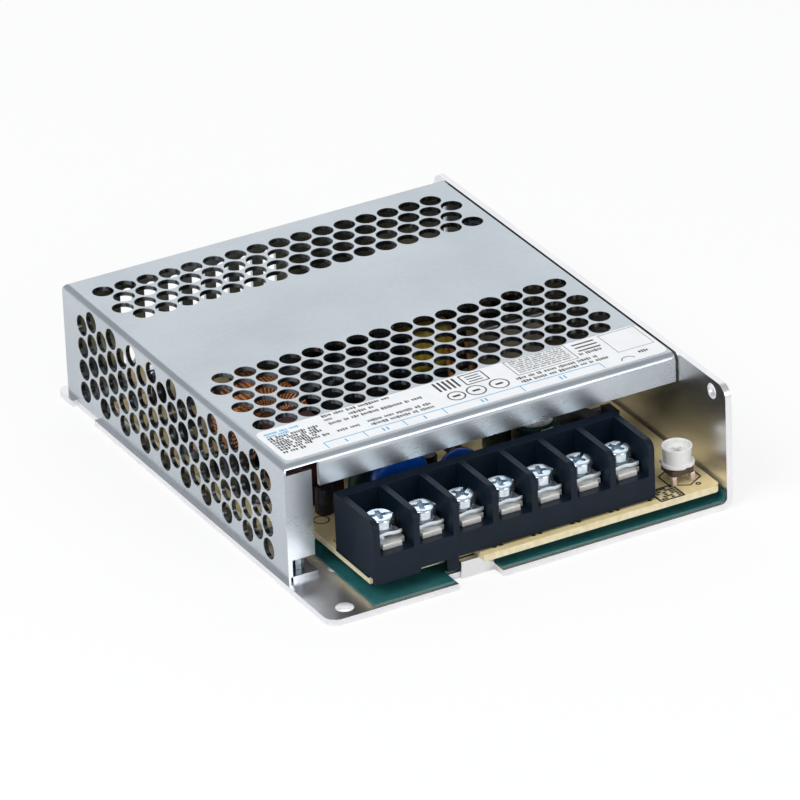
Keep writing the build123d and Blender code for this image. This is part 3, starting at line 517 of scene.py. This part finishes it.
# %% Round the plain pieces
plain_pieces = [
    ("chassis", chassis_aluminium, "aluminium_sheet", 0.2),
    ("primary_heatsink", sink_aluminium, "aluminium_sheet", 0.15),
    ("output_heatsink", sink_aluminium, "aluminium_sheet", 0.15),
    ("terminal_block", block_resin, "block_plastic", 0.22),
    ("terminal_plates", tinned, "nickel_contact", 0.14),
    ("filter_capacitor", box_red, "dark_red_plastic", 0.4),
    ("transformer_core", ferrite, "ferrite", 0.2),
    ("transformer_bobbin", black_epoxy, "black_plastic", 0.1),
    ("transformer_winding", tape_yellow, "yellow_tape", 0.3),
    ("fuse", black_epoxy, "black_plastic", 0.3),
    ("bridge_rectifier", black_epoxy, "black_plastic", 0.2),
    ("power_transistor", black_epoxy, "black_plastic", 0.15),
    ("output_diode", black_epoxy, "black_plastic", 0.15),
    ("control_chip", black_epoxy, "black_plastic", 0.15),
    ("optocouplers", black_epoxy, "black_plastic", 0.15),
    ("trimmer_legs", pin_metal, "trimmer_metal", 0.12),
    ("trimmer_body", trimmer_brown, "trimmer_ceramic", 0.15),
    ("line_choke_core", ferrite, "ferrite", 0.5),
    ("output_inductor", ferrite, "ferrite", 0.9),
]
for node, material, slot, width in plain_pieces:
    rounded(node, material, width * mm)
print("rounded", len(plain_pieces), "pieces")

# %% Finish the pieces that keep their mesh
kept_pieces = {
    "cover_screws": zinc,
    "board_screws": zinc,
    "board_standoffs": tinned,
    "rating_label": label_white,
    "insulation_film": film_green,
    "circuit_board": laminate,
    "line_choke_base": black_epoxy,
    "transformer_leads": copper,
    "line_choke_winding": wound_wire,
}
for node, material in kept_pieces.items():
    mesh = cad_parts[node].data
    mesh.materials.clear()
    mesh.materials.append(material)
print("finished", len(kept_pieces), "kept pieces")

# %% [markdown]
# ## Cutting, turning and repeating
# Four helpers make the rest. `carved` takes one shape out of another, `slotted` cuts straight slots across
# the middle of a shape, `turned` spins an outline around the upright axis as a lathe does, and `add_shape`
# copies a small shape to several places of a larger one.

# %% Shape helpers


def scratch_object(shape, name):
    """A passing object, for modifiers and cuts."""
    mesh = bpy.data.meshes.new(name)
    shape.to_mesh(mesh)
    shape.free()
    made = bpy.data.objects.new(name, mesh)
    scene.collection.objects.link(made)
    return made


def cut(piece, cutter):
    """Takes the cutter's shape out of a piece, and removes the cutter."""
    change = piece.modifiers.new("cut", "BOOLEAN")
    change.operation = "DIFFERENCE"
    change.solver = "EXACT"
    change.object = cutter
    mesh = finished_mesh(piece)
    piece.modifiers.clear()
    piece.data = mesh
    bpy.data.objects.remove(cutter)


def carved(shape, cutter):
    """One bmesh with another taken out of it."""
    blank = scratch_object(shape, "blank")
    cut(blank, scratch_object(cutter, "cutter"))
    result = bmesh.new()
    result.from_mesh(blank.data)
    bpy.data.objects.remove(blank)
    return result


def block(low, high):
    """A bmesh box between two corners."""
    shape = bmesh.new()
    bmesh.ops.create_cube(shape, size=1.0)
    bmesh.ops.scale(shape, vec=Vector(high) - Vector(low), verts=shape.verts)
    bmesh.ops.translate(shape, vec=(Vector(low) + Vector(high)) / 2, verts=shape.verts)
    return shape


def rod(radius, low, high, sides=32):
    """An upright cylinder on the Z axis between two heights."""
    shape = bmesh.new()
    bmesh.ops.create_cone(
        shape, cap_ends=True, segments=sides, radius1=radius, radius2=radius, depth=high - low,
        matrix=Matrix.Translation((0, 0, (low + high) / 2)),
    )
    return shape


def slotted(shape, reach, half_width, low, high, turns):
    """A shape with slots between two heights cut across its middle, one for each turn in degrees."""
    for turn in turns:
        slot = block((-reach, -half_width, low), (reach, half_width, high))
        slot.transform(Matrix.Rotation(radians(turn), 4, "Z"))
        shape = carved(shape, slot)
    return shape


def turned(outline, steps=48):
    """A closed shape spun around the Z axis from points of (radius, height) that end on the axis."""
    shape = bmesh.new()
    verts = [shape.verts.new((radius * mm, 0, height * mm)) for radius, height in outline]
    edges = [shape.edges.new(pair) for pair in zip(verts, verts[1:])]
    bmesh.ops.spin(
        shape, geom=verts + edges, cent=(0, 0, 0), axis=(0, 0, 1), angle=2 * pi, steps=steps, use_merge=True
    )
    bmesh.ops.remove_doubles(shape, verts=shape.verts, dist=0.001 * mm)
    bmesh.ops.recalc_face_normals(shape, faces=shape.faces)
    return shape


def add_shape(whole, part, places=(Matrix(),)):
    """Adds a small shape to a larger one at each of the places, and frees the small one."""
    mesh = bpy.data.meshes.new("part")
    part.to_mesh(mesh)
    part.free()
    for place in places:
        mesh.transform(place)
        whole.from_mesh(mesh)
        mesh.transform(place.inverted())
    bpy.data.meshes.remove(mesh)


print("shape helpers ready")

# %% [markdown]
# ## The cover
# The real sheet is punched and then folded. Here it is folded first: a box without its bottom and its right
# side gets round bends and a thickness, and then its openings and holes are cut. The cutters of the holes
# are joined into one object, because one cut with many holes is much faster than many cuts.

# %% Fold the cover's sheet
skin = 1.0 * mm
cover_bend = 1.8 * mm
fold = bmesh.new()
bmesh.ops.create_cube(fold, size=1.0)
bmesh.ops.scale(fold, vec=cover_high - cover_low, verts=fold.verts)
bmesh.ops.translate(fold, vec=(cover_low + cover_high) / 2, verts=fold.verts)
open_sides = [f for f in fold.faces if f.normal.z < -0.5 or f.normal.x > 0.5]
bmesh.ops.delete(fold, geom=open_sides, context="FACES_ONLY")
bends = [e for e in fold.edges if len(e.link_faces) == 2 and min(v.co.z for v in e.verts) > cover_low.z + mm]
soften(fold, cover_bend, 6, edges=bends)
sheet = scratch_object(fold, "sheet")
wall = sheet.modifiers.new("wall", "SOLIDIFY")
wall.thickness = skin
wall.offset = -1
wall.use_even_offset = True
sheet.data = finished_mesh(sheet)
sheet.modifiers.clear()
print("folded sheet", len(sheet.data.polygons), "faces")

# %% Cut the front
lip_height = 6.6 * mm
lip_start = 8.3 * mm
flange_width = 6.5 * mm
flange_bottom = 6.4 * mm
flange_slot = 1.2 * mm
overlap = 0.01 * mm
lip_bottom = cover_high.z - lip_height
inner_top = cover_high.z - skin
front_in, front_out = cover_low.y - mm, cover_low.y + 2 * skin
front_openings = [
    ((flange_width, 0), (cover_high.x - cover_low.x + mm, lip_bottom)),
    ((flange_width - overlap, 0), (lip_start, inner_top)),
    ((skin / 2, inner_top - flange_slot), (flange_width, inner_top)),
    ((skin, 0), (flange_width, flange_bottom)),
]
for (x0, z0), (x1, z1) in front_openings:
    opening = block((cover_low.x + x0, front_in, z0), (cover_low.x + x1, front_out, z1))
    cut(sheet, scratch_object(opening, "front_cutter"))
chassis_bend = 2.8 * mm
chassis_wall = 1.5 * mm
bend_relief = block(
    (cover_high.x - chassis_bend, cover_high.y - 2 * skin, 0),
    (cover_high.x + mm, cover_high.y + mm, chassis_wall + chassis_bend),
)
cut(sheet, scratch_object(bend_relief, "relief_cutter"))
print("cut the front in", len(front_openings), "steps, now", len(sheet.data.polygons), "faces")

# %% [markdown]
# The holes stand in staggered rows. A row's holes lie at the pitch, and the rows lie closer together by
# the height of an equal-sided triangle, so that each hole has the same distance to its six neighbours.

# %% Punch the holes
hole_pitch = 5.47 * mm
hole_radius = 2.42 * mm
row_spacing = hole_pitch * sqrt(3) / 2
holes_in_row = 16
holes_left_margin = 5.7 * mm
rear_row_inset = 8.8 * mm
front_row_inset = 19.5 * mm
rear_row_count = 4
front_row_count = 6
side_column_inset = 9.0 * mm
side_hole_drop = 6.7 * mm
side_columns = 19
side_holes = 4
hole_sides = 28
first_x = cover_low.x + holes_left_margin
rear_rows = [cover_high.y - rear_row_inset - row_spacing * row for row in range(rear_row_count)]
front_rows = [cover_low.y + front_row_inset + row_spacing * row for row in reversed(range(front_row_count))]
shifts = [row % 2 for row in range(rear_row_count)] + [(row + 1) % 2 for row in range(front_row_count)]
punches = bmesh.new()
punch_places = []
for y, shift in zip(rear_rows + front_rows, shifts):
    for index in range(holes_in_row):
        x = first_x + (index + shift / 2) * hole_pitch
        punch_places.append(Matrix.Translation((x, y, cover_high.z)))
side_turn = Matrix.Rotation(pi / 2, 4, "Y")
for column in range(side_columns):
    for index in range(side_holes):
        y = cover_high.y - side_column_inset - row_spacing * column
        z = cover_high.z - side_hole_drop + (column % 2 / 2 - index) * hole_pitch
        punch_places.append(Matrix.Translation((cover_low.x, y, z)) @ side_turn)
add_shape(punches, rod(hole_radius, -2 * skin, 2 * skin, hole_sides), punch_places)

slot_width = 3.3 * mm
slot_length = 19 * mm
slot_pitch = 5.93 * mm
slot_first = 13.5 * mm
slot_drop = 5.1 * mm
rear_slots = 7
slot_z = cover_high.z - slot_drop - slot_length / 2
slot_punch = rod(slot_width / 2, -2 * skin, 2 * skin, hole_sides)
for vert in slot_punch.verts:
    vert.co.y += (slot_length - slot_width) / 2 * (1 if vert.co.y > 0 else -1)
rear_turn = Matrix.Rotation(pi / 2, 4, "X")
slot_x = cover_low.x + slot_first + slot_width / 2
slot_places = [
    Matrix.Translation((slot_x + slot_pitch * index, cover_high.y, slot_z)) @ rear_turn
    for index in range(rear_slots)
]
add_shape(punches, slot_punch, slot_places)
cut(sheet, scratch_object(punches, "punches"))
print("punched", len(punch_places), "holes and", rear_slots, "slots:", len(sheet.data.polygons), "faces")

# %% Add the feet and the tabs, and round the edges
cover_shape = bmesh.new()
cover_shape.from_mesh(sheet.data)
bpy.data.objects.remove(sheet)
bmesh.ops.remove_doubles(cover_shape, verts=cover_shape.verts, dist=0.001 * mm)
flat = radians(0.5)
bmesh.ops.dissolve_limit(cover_shape, angle_limit=flat, verts=cover_shape.verts, edges=cover_shape.edges)
soften(cover_shape, 0.12 * mm, 2, 35)
foot = 7 * mm
foot_hole = 1.55 * mm
foot_rear_inset = 12 * mm
for y in (cover_low.y + foot / 2, cover_high.y - foot_rear_inset):
    sole = block(
        (cover_low.x + skin / 2, y - foot / 2, cover_low.z),
        (cover_low.x + foot, y + foot / 2, cover_low.z + skin),
    )
    drill = rod(foot_hole, -mm, 3 * mm)
    drill.transform(Matrix.Translation((cover_low.x + foot / 2 + skin / 2, y, cover_low.z)))
    add_shape(cover_shape, carved(sole, drill))
tab_length = 12 * mm
tab_height = 8 * mm
tab_inset = 16 * mm
for y in (cover_low.y + tab_inset, cover_high.y - tab_inset):
    tab = block(
        (cover_high.x - skin, y - tab_length / 2, cover_high.z - tab_height),
        (cover_high.x, y + tab_length / 2, cover_high.z - skin / 2),
    )
    drill = rod(foot_hole, -3 * mm, mm)
    drill.transform(Matrix.Translation((cover_high.x, y, cover_high.z - tab_height / 2)) @ side_turn)
    add_shape(cover_shape, carved(tab, drill))
cover_piece = as_piece(cover_shape, "punched_cover", cover_steel, "unit", ("cover",))
print("cover", len(cover_piece.data.polygons), "faces")

# %% [markdown]
# ## The terminal hardware
# Each terminal is a small stack: a contact plate, a square clamping washer that is bent so that it springs,
# a split lock washer, and a pan head screw whose recess takes a flat or a cross-head driver. One of each is
# shaped, and copies of it are turned a little, because no two screws stop at the same angle. The first
# screw isn't tight, so its stack stands higher and to one side.

# %% Shape one of each
screws_low, screws_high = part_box("terminal_screws")
locks_low, locks_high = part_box("terminal_lock_washers")
washers_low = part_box("terminal_washers")[0]
shaft_depth = locks_high.z - screws_low.z
head_radius = 3.2 * mm
head_bottom = 0.2 * mm
head_height = 2.5 * mm
above_head = head_height + mm
shaft_radius = 1.5 * mm
head = rod(head_radius, head_bottom, head_height, 48)
top_rim = [e for e in head.edges if min(v.co.z for v in e.verts) > head_height - 0.01 * mm]
soften(head, 0.55 * mm, 4, edges=top_rim)
soften(head, 0.3 * mm, 2)
head = slotted(head, 4 * mm, 0.42 * mm, head_height - 0.75 * mm, above_head, [0])
head = slotted(head, 1.95 * mm, 0.55 * mm, head_height - 1.4 * mm, above_head, [0, 90])
head = carved(head, rod(1.0 * mm, head_height - 1.7 * mm, above_head, 20))
bmesh.ops.dissolve_limit(head, angle_limit=flat, verts=head.verts, edges=head.edges)
soften(head, 0.06 * mm, 1, 50)
add_shape(head, rod(shaft_radius, -shaft_depth, head_bottom + 0.1 * mm, 20))

lock_inner, lock_outer, lock_thickness = 1.6, 2.6, 0.62
lock_sweep = radians(346)
lock_steps = 40
lock_rise = 0.16 * mm
lock_washer = bmesh.new()
corners = [(lock_inner, 0), (lock_outer, 0), (lock_outer, lock_thickness), (lock_inner, lock_thickness)]
ring_face = lock_washer.faces.new([lock_washer.verts.new((r * mm, 0, h * mm)) for r, h in corners])
bmesh.ops.spin(
    lock_washer, geom=[ring_face], cent=(0, 0, 0), axis=(0, 0, 1), dvec=(0, 0, lock_rise / lock_steps),
    angle=lock_sweep, steps=lock_steps, use_merge=False,
)
open_edges = [e for e in lock_washer.edges if len(e.link_faces) == 1]
bmesh.ops.holes_fill(lock_washer, edges=open_edges)
bmesh.ops.recalc_face_normals(lock_washer, faces=lock_washer.faces)

washer_side = 7.0 * mm
washer_flat = 1.9 * mm
washer_slope = 1.6 * mm
washer_rise = 0.72 * mm
washer_wave = 0.13 * mm
spring = bmesh.new()
bmesh.ops.create_grid(spring, x_segments=14, y_segments=24, size=washer_side / 2)
for vert in spring.verts:
    toward_edge = max(0.0, (abs(vert.co.y) - washer_flat) / washer_slope)
    wave = washer_wave * cos(3 * pi * vert.co.x / washer_side)
    vert.co.z = (washer_rise + wave) * toward_edge * toward_edge * (3 - 2 * toward_edge)
bmesh.ops.solidify(spring, geom=spring.faces[:], thickness=0.8 * mm)
bmesh.ops.recalc_face_normals(spring, faces=spring.faces)
spring_low = min(v.co.z for v in spring.verts)
bmesh.ops.translate(spring, vec=(0, 0, -spring_low), verts=spring.verts)
spring = carved(spring, rod(1.55 * mm, -mm, 2 * mm, 20))
soften(spring, 0.1 * mm, 2, 50)
print("one head has", len(head.faces), "faces, one clamping washer", len(spring.faces))

# %% Set the seven stacks
block_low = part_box("terminal_block")[0]
terminals = 7
terminal_pitch = 9.5 * mm
barrier = 1.5 * mm
loose_shift = Vector((-0.5 * mm, 0, 0.6 * mm))
terminal_y = (screws_low.y + screws_high.y) / 2
luck = Random(4)
screw_places, lock_places, spring_places = [], [], []
for index in range(terminals):
    x = block_low.x + barrier / 2 + terminal_pitch * (index + 0.5)
    centre = Vector((x, terminal_y, 0))
    if index == 0:
        centre += loose_shift
    screw_turn = Matrix.Rotation(radians(luck.uniform(-28, 40)), 4, "Z")
    screw_places.append(Matrix.Translation(centre + Vector((0, 0, locks_high.z))) @ screw_turn)
    lock_turn = Matrix.Rotation(radians(luck.uniform(0, 360)), 4, "Z")
    lock_places.append(Matrix.Translation(centre + Vector((0, 0, locks_low.z))) @ lock_turn)
    spring_turn = Matrix.Rotation(radians(luck.uniform(-4, 4)), 4, "Z")
    spring_places.append(Matrix.Translation(centre + Vector((0, 0, washers_low.z))) @ spring_turn)
for shape, places, name, node, material in (
    (head, screw_places, "cross_head_screws", "terminal_screws", zinc),
    (lock_washer, lock_places, "split_washers", "terminal_lock_washers", washer_zinc),
    (spring, spring_places, "clamping_washers", "terminal_washers", washer_zinc),
):
    whole = bmesh.new()
    add_shape(whole, shape, places)
    piece = as_piece(whole, name, material, "unit", (node,), 40)
    print(name, len(piece.data.polygons), "faces")

# %% [markdown]
# ## The trimmer's cup
# The white cup is a turned shape with a flange under it and a cross slot in its floor. It is the one piece
# that moves, so it rides on its own body. Its flange has three shallow bites, which show how far it turned.

# %% Turn the cup
knob_low, knob_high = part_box("trimmer_knob")
trimmer_body_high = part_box("trimmer_body")[1]
cup_lift = 0.35 * mm
cup_floor = 3.1
cup_top = (knob_high.z - trimmer_body_high.z) / mm - 0.2
cup_outline = [
    (0, -1.6), (0.85, -1.6), (0.85, 0), (3.7, 0), (3.82, 0.14), (3.82, 0.5), (3.7, 0.64), (3.05, 0.7),
    (2.95, 0.9), (3.28, cup_top - 0.3), (3.4, cup_top - 0.18), (3.34, cup_top - 0.03), (3.25, cup_top),
    (3.0, cup_top), (2.9, cup_top - 0.08), (2.82, cup_top - 0.3), (2.75, cup_floor), (0, cup_floor),
]
cup = turned(cup_outline)
bite_distance = 4.6 * mm
for bite_angle in (radians(40), radians(160), radians(280)):
    bite = rod(1.3 * mm, -0.5 * mm, 0.72 * mm, 24)
    x, y = bite_distance * cos(bite_angle), bite_distance * sin(bite_angle)
    bite.transform(Matrix.Translation((x, y, 0)))
    cup = carved(cup, bite)
cup = slotted(cup, 1.4 * mm, 0.35 * mm, (cup_floor - 0.9) * mm, (cup_floor + 0.5) * mm, [20, 110])
cup_middle = (knob_low + knob_high) / 2
cup.transform(Matrix.Translation((cup_middle.x, cup_middle.y, trimmer_body_high.z + cup_lift)))
cup_piece = as_piece(cup, "turning_cup", trimmer_nylon, "trimmer", ("trimmer_knob",), 40)
print("turning cup", len(cup_piece.data.polygons), "faces")

# %% [markdown]
# ## Parts on the board
# Through the holes and the front gap, the discs, cans and coils show their typical forms: a dipped disc is
# round at its rim, a can has a rolled edge and a vented top of bare metal, and a lying can has a crimp.

# %% Dip the discs
board_top = board_high.z
disc_pieces = [
    ("dipped_capacitors", "disc_capacitors", dipped_blue, "blue_ceramic",
     [(spot(32.5, 28.0), 6.75, 4.2), (spot(46.0, 26.0), 5.25, 4.2)]),
    ("dipped_thermistor", "inrush_thermistor", dipped_green, "dark_green_ceramic",
     [(spot(28.0, 34.0), 4.5, 3.0)]),
]
disc_stand = 1.5
lead_radius = 0.3 * mm
lead_spread = 2.5 * mm
for name, node, material, slot, discs in disc_pieces:
    whole = bmesh.new()
    for place, radius, thickness in discs:
        disc = rod(radius * mm, -thickness / 2 * mm, thickness / 2 * mm, 48)
        rims = sharp_edges(disc, 60)
        soften(disc, 0.46 * thickness * mm, 6, edges=rims)
        centre = Vector((place.x, place.y, board_top + (disc_stand + radius) * mm))
        add_shape(whole, disc, [Matrix.Translation(centre) @ rear_turn])
        lead = rod(lead_radius, board_top, centre.z, 12)
        lead_places = [Matrix.Translation((place.x + side * lead_spread, place.y, 0)) for side in (-1, 1)]
        add_shape(whole, lead, lead_places)
    as_piece(whole, name, material, "unit", (node,))
print("dipped", len(disc_pieces), "kinds of disc")

# %% Build the cans
cans_low, cans_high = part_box("output_capacitors")
can_height = (cans_high.z - cans_low.z) / mm
can_radius = 5.0
sleeve_outline = [
    (0, 0), (can_radius - 0.3, 0), (can_radius, 0.3), (can_radius, can_height - 0.7),
    (can_radius - 0.2, can_height - 0.2), (can_radius - 0.8, can_height),
    (can_radius - 0.95, can_height - 0.35), (0, can_height - 0.35),
]
sleeves = bmesh.new()
stand_places = [Matrix.Translation((p.x, p.y, cans_low.z)) for p in can_places]
add_shape(sleeves, turned(sleeve_outline, 56), stand_places)
as_piece(sleeves, "can_sleeves", sleeve, "unit", ("output_capacitors",))
lid_radius = can_radius - 0.96
lid_outline = [(0, -0.4), (lid_radius, -0.4), (lid_radius, -0.2), (lid_radius - 0.3, -0.05), (0, -0.05)]
lid = slotted(turned(lid_outline, 56), 3.1 * mm, 0.17 * mm, -0.2 * mm, 0.2 * mm, [20, 110])
lids = bmesh.new()
add_shape(lids, lid, [Matrix.Translation((p.x, p.y, cans_high.z)) for p in can_places])
as_piece(lids, "can_lids", can_metal)

bulk_low, bulk_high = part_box("bulk_capacitor")
bulk_radius = (bulk_high.x - bulk_low.x) / 2 / mm
bulk_length = (bulk_high.y - bulk_low.y) / mm
bulk_outline = [
    (0, 0), (bulk_radius - 0.6, 0), (bulk_radius, 0.6), (bulk_radius, 3.0), (bulk_radius - 0.7, 3.6),
    (bulk_radius, 4.2), (bulk_radius, bulk_length - 0.8), (bulk_radius - 0.8, bulk_length),
    (bulk_radius - 1.4, bulk_length - 0.3), (0, bulk_length - 0.3),
]
bulk_can = turned(bulk_outline, 64)
bulk_middle = (bulk_low + bulk_high) / 2
lying = Matrix.Rotation(-pi / 2, 4, "X")
bulk_can.transform(Matrix.Translation((bulk_middle.x, bulk_low.y, bulk_middle.z)) @ lying)
as_piece(bulk_can, "lying_can", bulk_sleeve, "unit", ("bulk_capacitor",))
print("cans built")

# %% [markdown]
# ## Small parts
# Between its named parts the board carries many small ones. They are plain dark boxes, cans and rods, set
# by chance wherever only bare board lies under the cover, so that its holes show a full board.

# %% Fill the board
standing = bmesh.new()
for node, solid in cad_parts.items():
    if node not in ("cover", "rating_label"):
        standing.from_mesh(solid.data)
tree = BVHTree.FromBMesh(standing)
standing.free()
small_reach = 2.7
small_left, small_right = 5.5, 93.0
small_front, small_rear = 36.0, 117.0
tries = 1500
small_luck = Random(11)
taken = []


def is_free(x, y):
    """True where only bare board lies within reach of a place."""
    if any(max(abs(x - other_x), abs(y - other_y)) < 2 * small_reach for other_x, other_y in taken):
        return False
    for step_x in range(-2, 3):
        for step_y in range(-2, 3):
            above_board = spot(x + step_x * small_reach / 2, y + step_y * small_reach / 2, 60.0)
            hit = tree.ray_cast(above_board, Vector((0, 0, -1)))[0]
            if hit is None or abs(hit.z - board_top) > 0.1 * mm:
                return False
    return True


small_box = block((-2.2 * mm, -1.2 * mm, 0), (2.2 * mm, 1.2 * mm, 4.8 * mm))
small_can = rod(2.1 * mm, 0, 6.5 * mm, 20)
small_rod = rod(1.0 * mm, -2.4 * mm, 2.4 * mm, 12)
small_rod.transform(Matrix.Translation((0, 0, 1.0 * mm)) @ Matrix.Rotation(radians(90), 4, "Y"))
small_places = [[], [], []]
for attempt in range(tries):
    x, y = small_luck.uniform(small_left, small_right), small_luck.uniform(small_front, small_rear)
    if is_free(x, y):
        quarter = Matrix.Rotation(radians(90 * small_luck.randint(0, 1)), 4, "Z")
        place = spot(x, y)
        place.z = board_top
        small_places[len(taken) % 3].append(Matrix.Translation(place) @ quarter)
        taken.append((x, y))
for shape, places, name, material, slot in (
    (small_box, small_places[0], "small_boxes", black_epoxy, "black_plastic"),
    (small_can, small_places[1], "small_cans", bulk_sleeve, "capacitor_sleeve"),
    (small_rod, small_places[2], "small_rods", resistor_coat, "black_plastic"),
):
    soften(shape, 0.3 * mm, 1)
    whole = bmesh.new()
    add_shape(whole, shape, places)
    as_piece(whole, name, material)
print("small parts", len(taken))

# %% [markdown]
# ## Print on the label and the board
# The label carries plain lines, boxes, circles and rows of small bars. Blue lines tie its front edge to the
# terminals. The board has a thin dark legend: an outline around the trimmer, marks beside the block and
# the places of parts. Every stroke is a flat strip just above its ground.

# %% Draw with strokes
above = 0.02 * mm


def stroke(ink, start, end, width, ground):
    """A printed line between two places, given in millimetres from the left and front edges."""
    first, last = spot(*start), spot(*end)
    run = last - first
    middle = (first + last) / 2
    place = Matrix.Translation((middle.x, middle.y, ground + above))
    turn = Matrix.Rotation(atan2(run.y, run.x), 4, "Z")
    size = Matrix.Diagonal((run.length, width * mm, 1, 1))
    bmesh.ops.create_grid(ink, x_segments=1, y_segments=1, size=0.5, matrix=place @ turn @ size)


def outline(ink, points, width, ground):
    """A closed line through the points."""
    for start, end in zip(points, points[1:] + points[:1]):
        stroke(ink, start, end, width, ground)


def frame_box(ink, low, high, width, ground):
    """The outline of an upright box."""
    outline(ink, [low, (high[0], low[1]), high, (low[0], high[1])], width, ground)


def arc(ink, centre, radius, first, last, sides, width, ground):
    """A round line from one angle to another, in degrees."""
    points = []
    for index in range(sides + 1):
        angle = radians(first + (last - first) * index / sides)
        points.append((centre[0] + radius * cos(angle), centre[1] + radius * sin(angle)))
    for start, end in zip(points, points[1:]):
        stroke(ink, start, end, width, ground)


def bar_row(ink, x0, x1, y, tall, ground, chance):
    """A row of small bars of uneven height and width, in groups."""
    x = x0
    while x < x1:
        for bar in range(chance.randint(2, 8)):
            wide = tall * chance.uniform(0.3, 0.55)
            high = tall * chance.choice((0.7, 0.7, 1.0))
            if x + wide < x1:
                stroke(ink, (x + wide / 2, y - high / 2), (x + wide / 2, y + high / 2), wide * 0.8, ground)
            x += wide + tall * 0.1
        x += tall * 0.5


print("drawing helpers ready")

# %% Print the label
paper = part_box("rating_label")[1].z
blue_print = bmesh.new()
tie_y, edge_y = 24.9, 22.2
tie_x = [13.2, 22.6, 32.0, 41.7, 60.6, 80.2]
stroke(blue_print, (tie_x[0], tie_y), (tie_x[-1], tie_y), 0.22, paper)
for x in tie_x:
    stroke(blue_print, (x, tie_y), (x, edge_y), 0.2, paper)
for index, bars in ((0, 1), (1, 2), (2, 1), (3, 2), (4, 2)):
    middle = (tie_x[index] + tie_x[index + 1]) / 2
    for bar in range(bars):
        x = middle + (bar - (bars - 1) / 2) * 1.0
        stroke(blue_print, (x, 22.7), (x, 24.1), 0.35, paper)
for row, length in enumerate((8.5, 6.0)):
    bar_row(blue_print, 4.2, 4.2 + length, 34.6 - 1.1 * row, 0.9, paper, luck)
as_piece(blue_print, "label_blue_print", ink_blue)

grey_print = bmesh.new()
bar_rows = [
    (4.0, 15.9, 32.4), (4.0, 15.2, 31.3), (4.0, 16.2, 30.2), (4.0, 14.6, 29.1), (4.0, 16.4, 28.0),
    (4.0, 12.0, 26.9), (4.0, 9.8, 25.6), (18.4, 35.1, 35.5), (18.2, 21.0, 33.7), (24.0, 30.1, 33.6),
    (18.3, 40.9, 31.8), (18.2, 23.6, 28.0), (25.7, 41.9, 28.4), (25.7, 41.2, 26.7), (61.6, 81.5, 28.0),
    (61.9, 83.5, 26.3), (78.6, 84.8, 30.6), (89.8, 92.8, 24.8),
]
for x0, x1, y in bar_rows:
    bar_row(grey_print, x0, x1, y, 1.12, paper, luck)
for row in range(7):
    bar_row(grey_print, 63.7, 77.0, 35.5 - 0.86 * row, 0.55, paper, luck)
frame_box(grey_print, (62.9, 29.3), (77.7, 36.2), 0.16, paper)
frame_box(grey_print, (86.2, 26.9), (95.0, 35.9), 0.12, paper)
frame_box(grey_print, (51.6, 31.4), (57.0, 35.8), 0.3, paper)
for row in range(3):
    y = 32.5 + 1.1 * row
    stroke(grey_print, (52.6, y), (56.0, y), 0.35, paper)
for bar in range(5):
    x = 45.4 + 1.15 * bar
    stroke(grey_print, (x, 31.6), (x, 35.8), 0.55, paper)
for x, radius in ((47.2, 1.9), (52.0, 2.1), (57.6, 2.1)):
    arc(grey_print, (x, 28.3), radius, 0, 360, 20, 0.32, paper)
    stroke(grey_print, (x - 0.9, 28.3), (x + 0.9, 28.3), 0.7, paper)
for row in range(3):
    y = 32.0 + 1.5 * row
    stroke(grey_print, (79.2, y), (84.6, y), 0.5, paper)
arc(grey_print, (86.4, 22.6), 1.7, 20, 165, 10, 0.22, paper)
as_piece(grey_print, "label_grey_print", ink_grey)
print("label printed")

# %% Print the board
legend = bmesh.new()
arc(legend, (90.2, 9.2), 4.5, 30, 390, 6, 0.4, board_top)
arc(legend, (92.0, 4.4), 0.45, 0, 360, 14, 0.45, board_top)
frame_box(legend, (81.2, 1.6), (86.9, 6.9), 0.5, board_top)
for row in range(6):
    for column in range(6):
        if luck.random() < 0.7:
            x, y = 81.7 + 0.82 * column, 2.3 + 0.8 * row
            stroke(legend, (x, y), (x + 0.75, y), 0.62, board_top)
arc(legend, (16.4, 33.8), 1.7, 0, 360, 18, 0.35, board_top)
for x in (14.2, 22.0, 30.5):
    frame_box(legend, (x, 21.0), (x + 5.5, 24.5), 0.2, board_top)
for y in (22.0, 27.0, 33.0, 40.0):
    frame_box(legend, (83.5, y), (89.5, y + 3.2), 0.2, board_top)
as_piece(legend, "board_legend", legend_ink)
print("board printed")

# %% [markdown]
# ## Floor
# The unit lies on a wide pale floor that runs out of the picture. It isn't part of the object. For rays
# from the camera and from shiny surfaces it is mostly plain white, and the rest keeps the shadow.

# %% Lay the floor
floor_shape = bmesh.new()
bmesh.ops.create_grid(floor_shape, x_segments=1, y_segments=1, size=6.0)
floor_mesh = bpy.data.meshes.new("studio_floor")
floor_shape.to_mesh(floor_mesh)
floor_shape.free()
floor = bpy.data.objects.new("studio_floor", floor_mesh)
scene.collection.objects.link(floor)
floor_paint = Finish("floor_paint")
floor_tone = floor_paint.noise(3, 2)
floor_mesh.materials.append(floor_paint.surface(
    Base_Color=floor_paint.ramp(floor_tone, [(0.0, (0.94, 0.94, 0.945)), (1.0, (0.96, 0.96, 0.96))]),
    Roughness=0.9,
))
seen = floor_paint.node("ShaderNodeLightPath", output="Is Camera Ray")
mirrored = floor_paint.node("ShaderNodeLightPath", output="Is Glossy Ray")
share = floor_paint.calc("MAXIMUM", seen, mirrored * 0.25) * 0.8
glow = floor_paint.node("ShaderNodeEmission", None, {"Color": (1.0, 1.0, 1.0), "Strength": 1.0})
painted = Wire(floor_paint, floor_paint.shader.outputs["BSDF"])
whole_floor = floor_paint.node("ShaderNodeMixShader", None, {0: share, 1: painted, 2: glow})
floor_paint.feed(floor_paint.tree.nodes["Material Output"].inputs["Surface"], whole_floor)
print("floor laid")
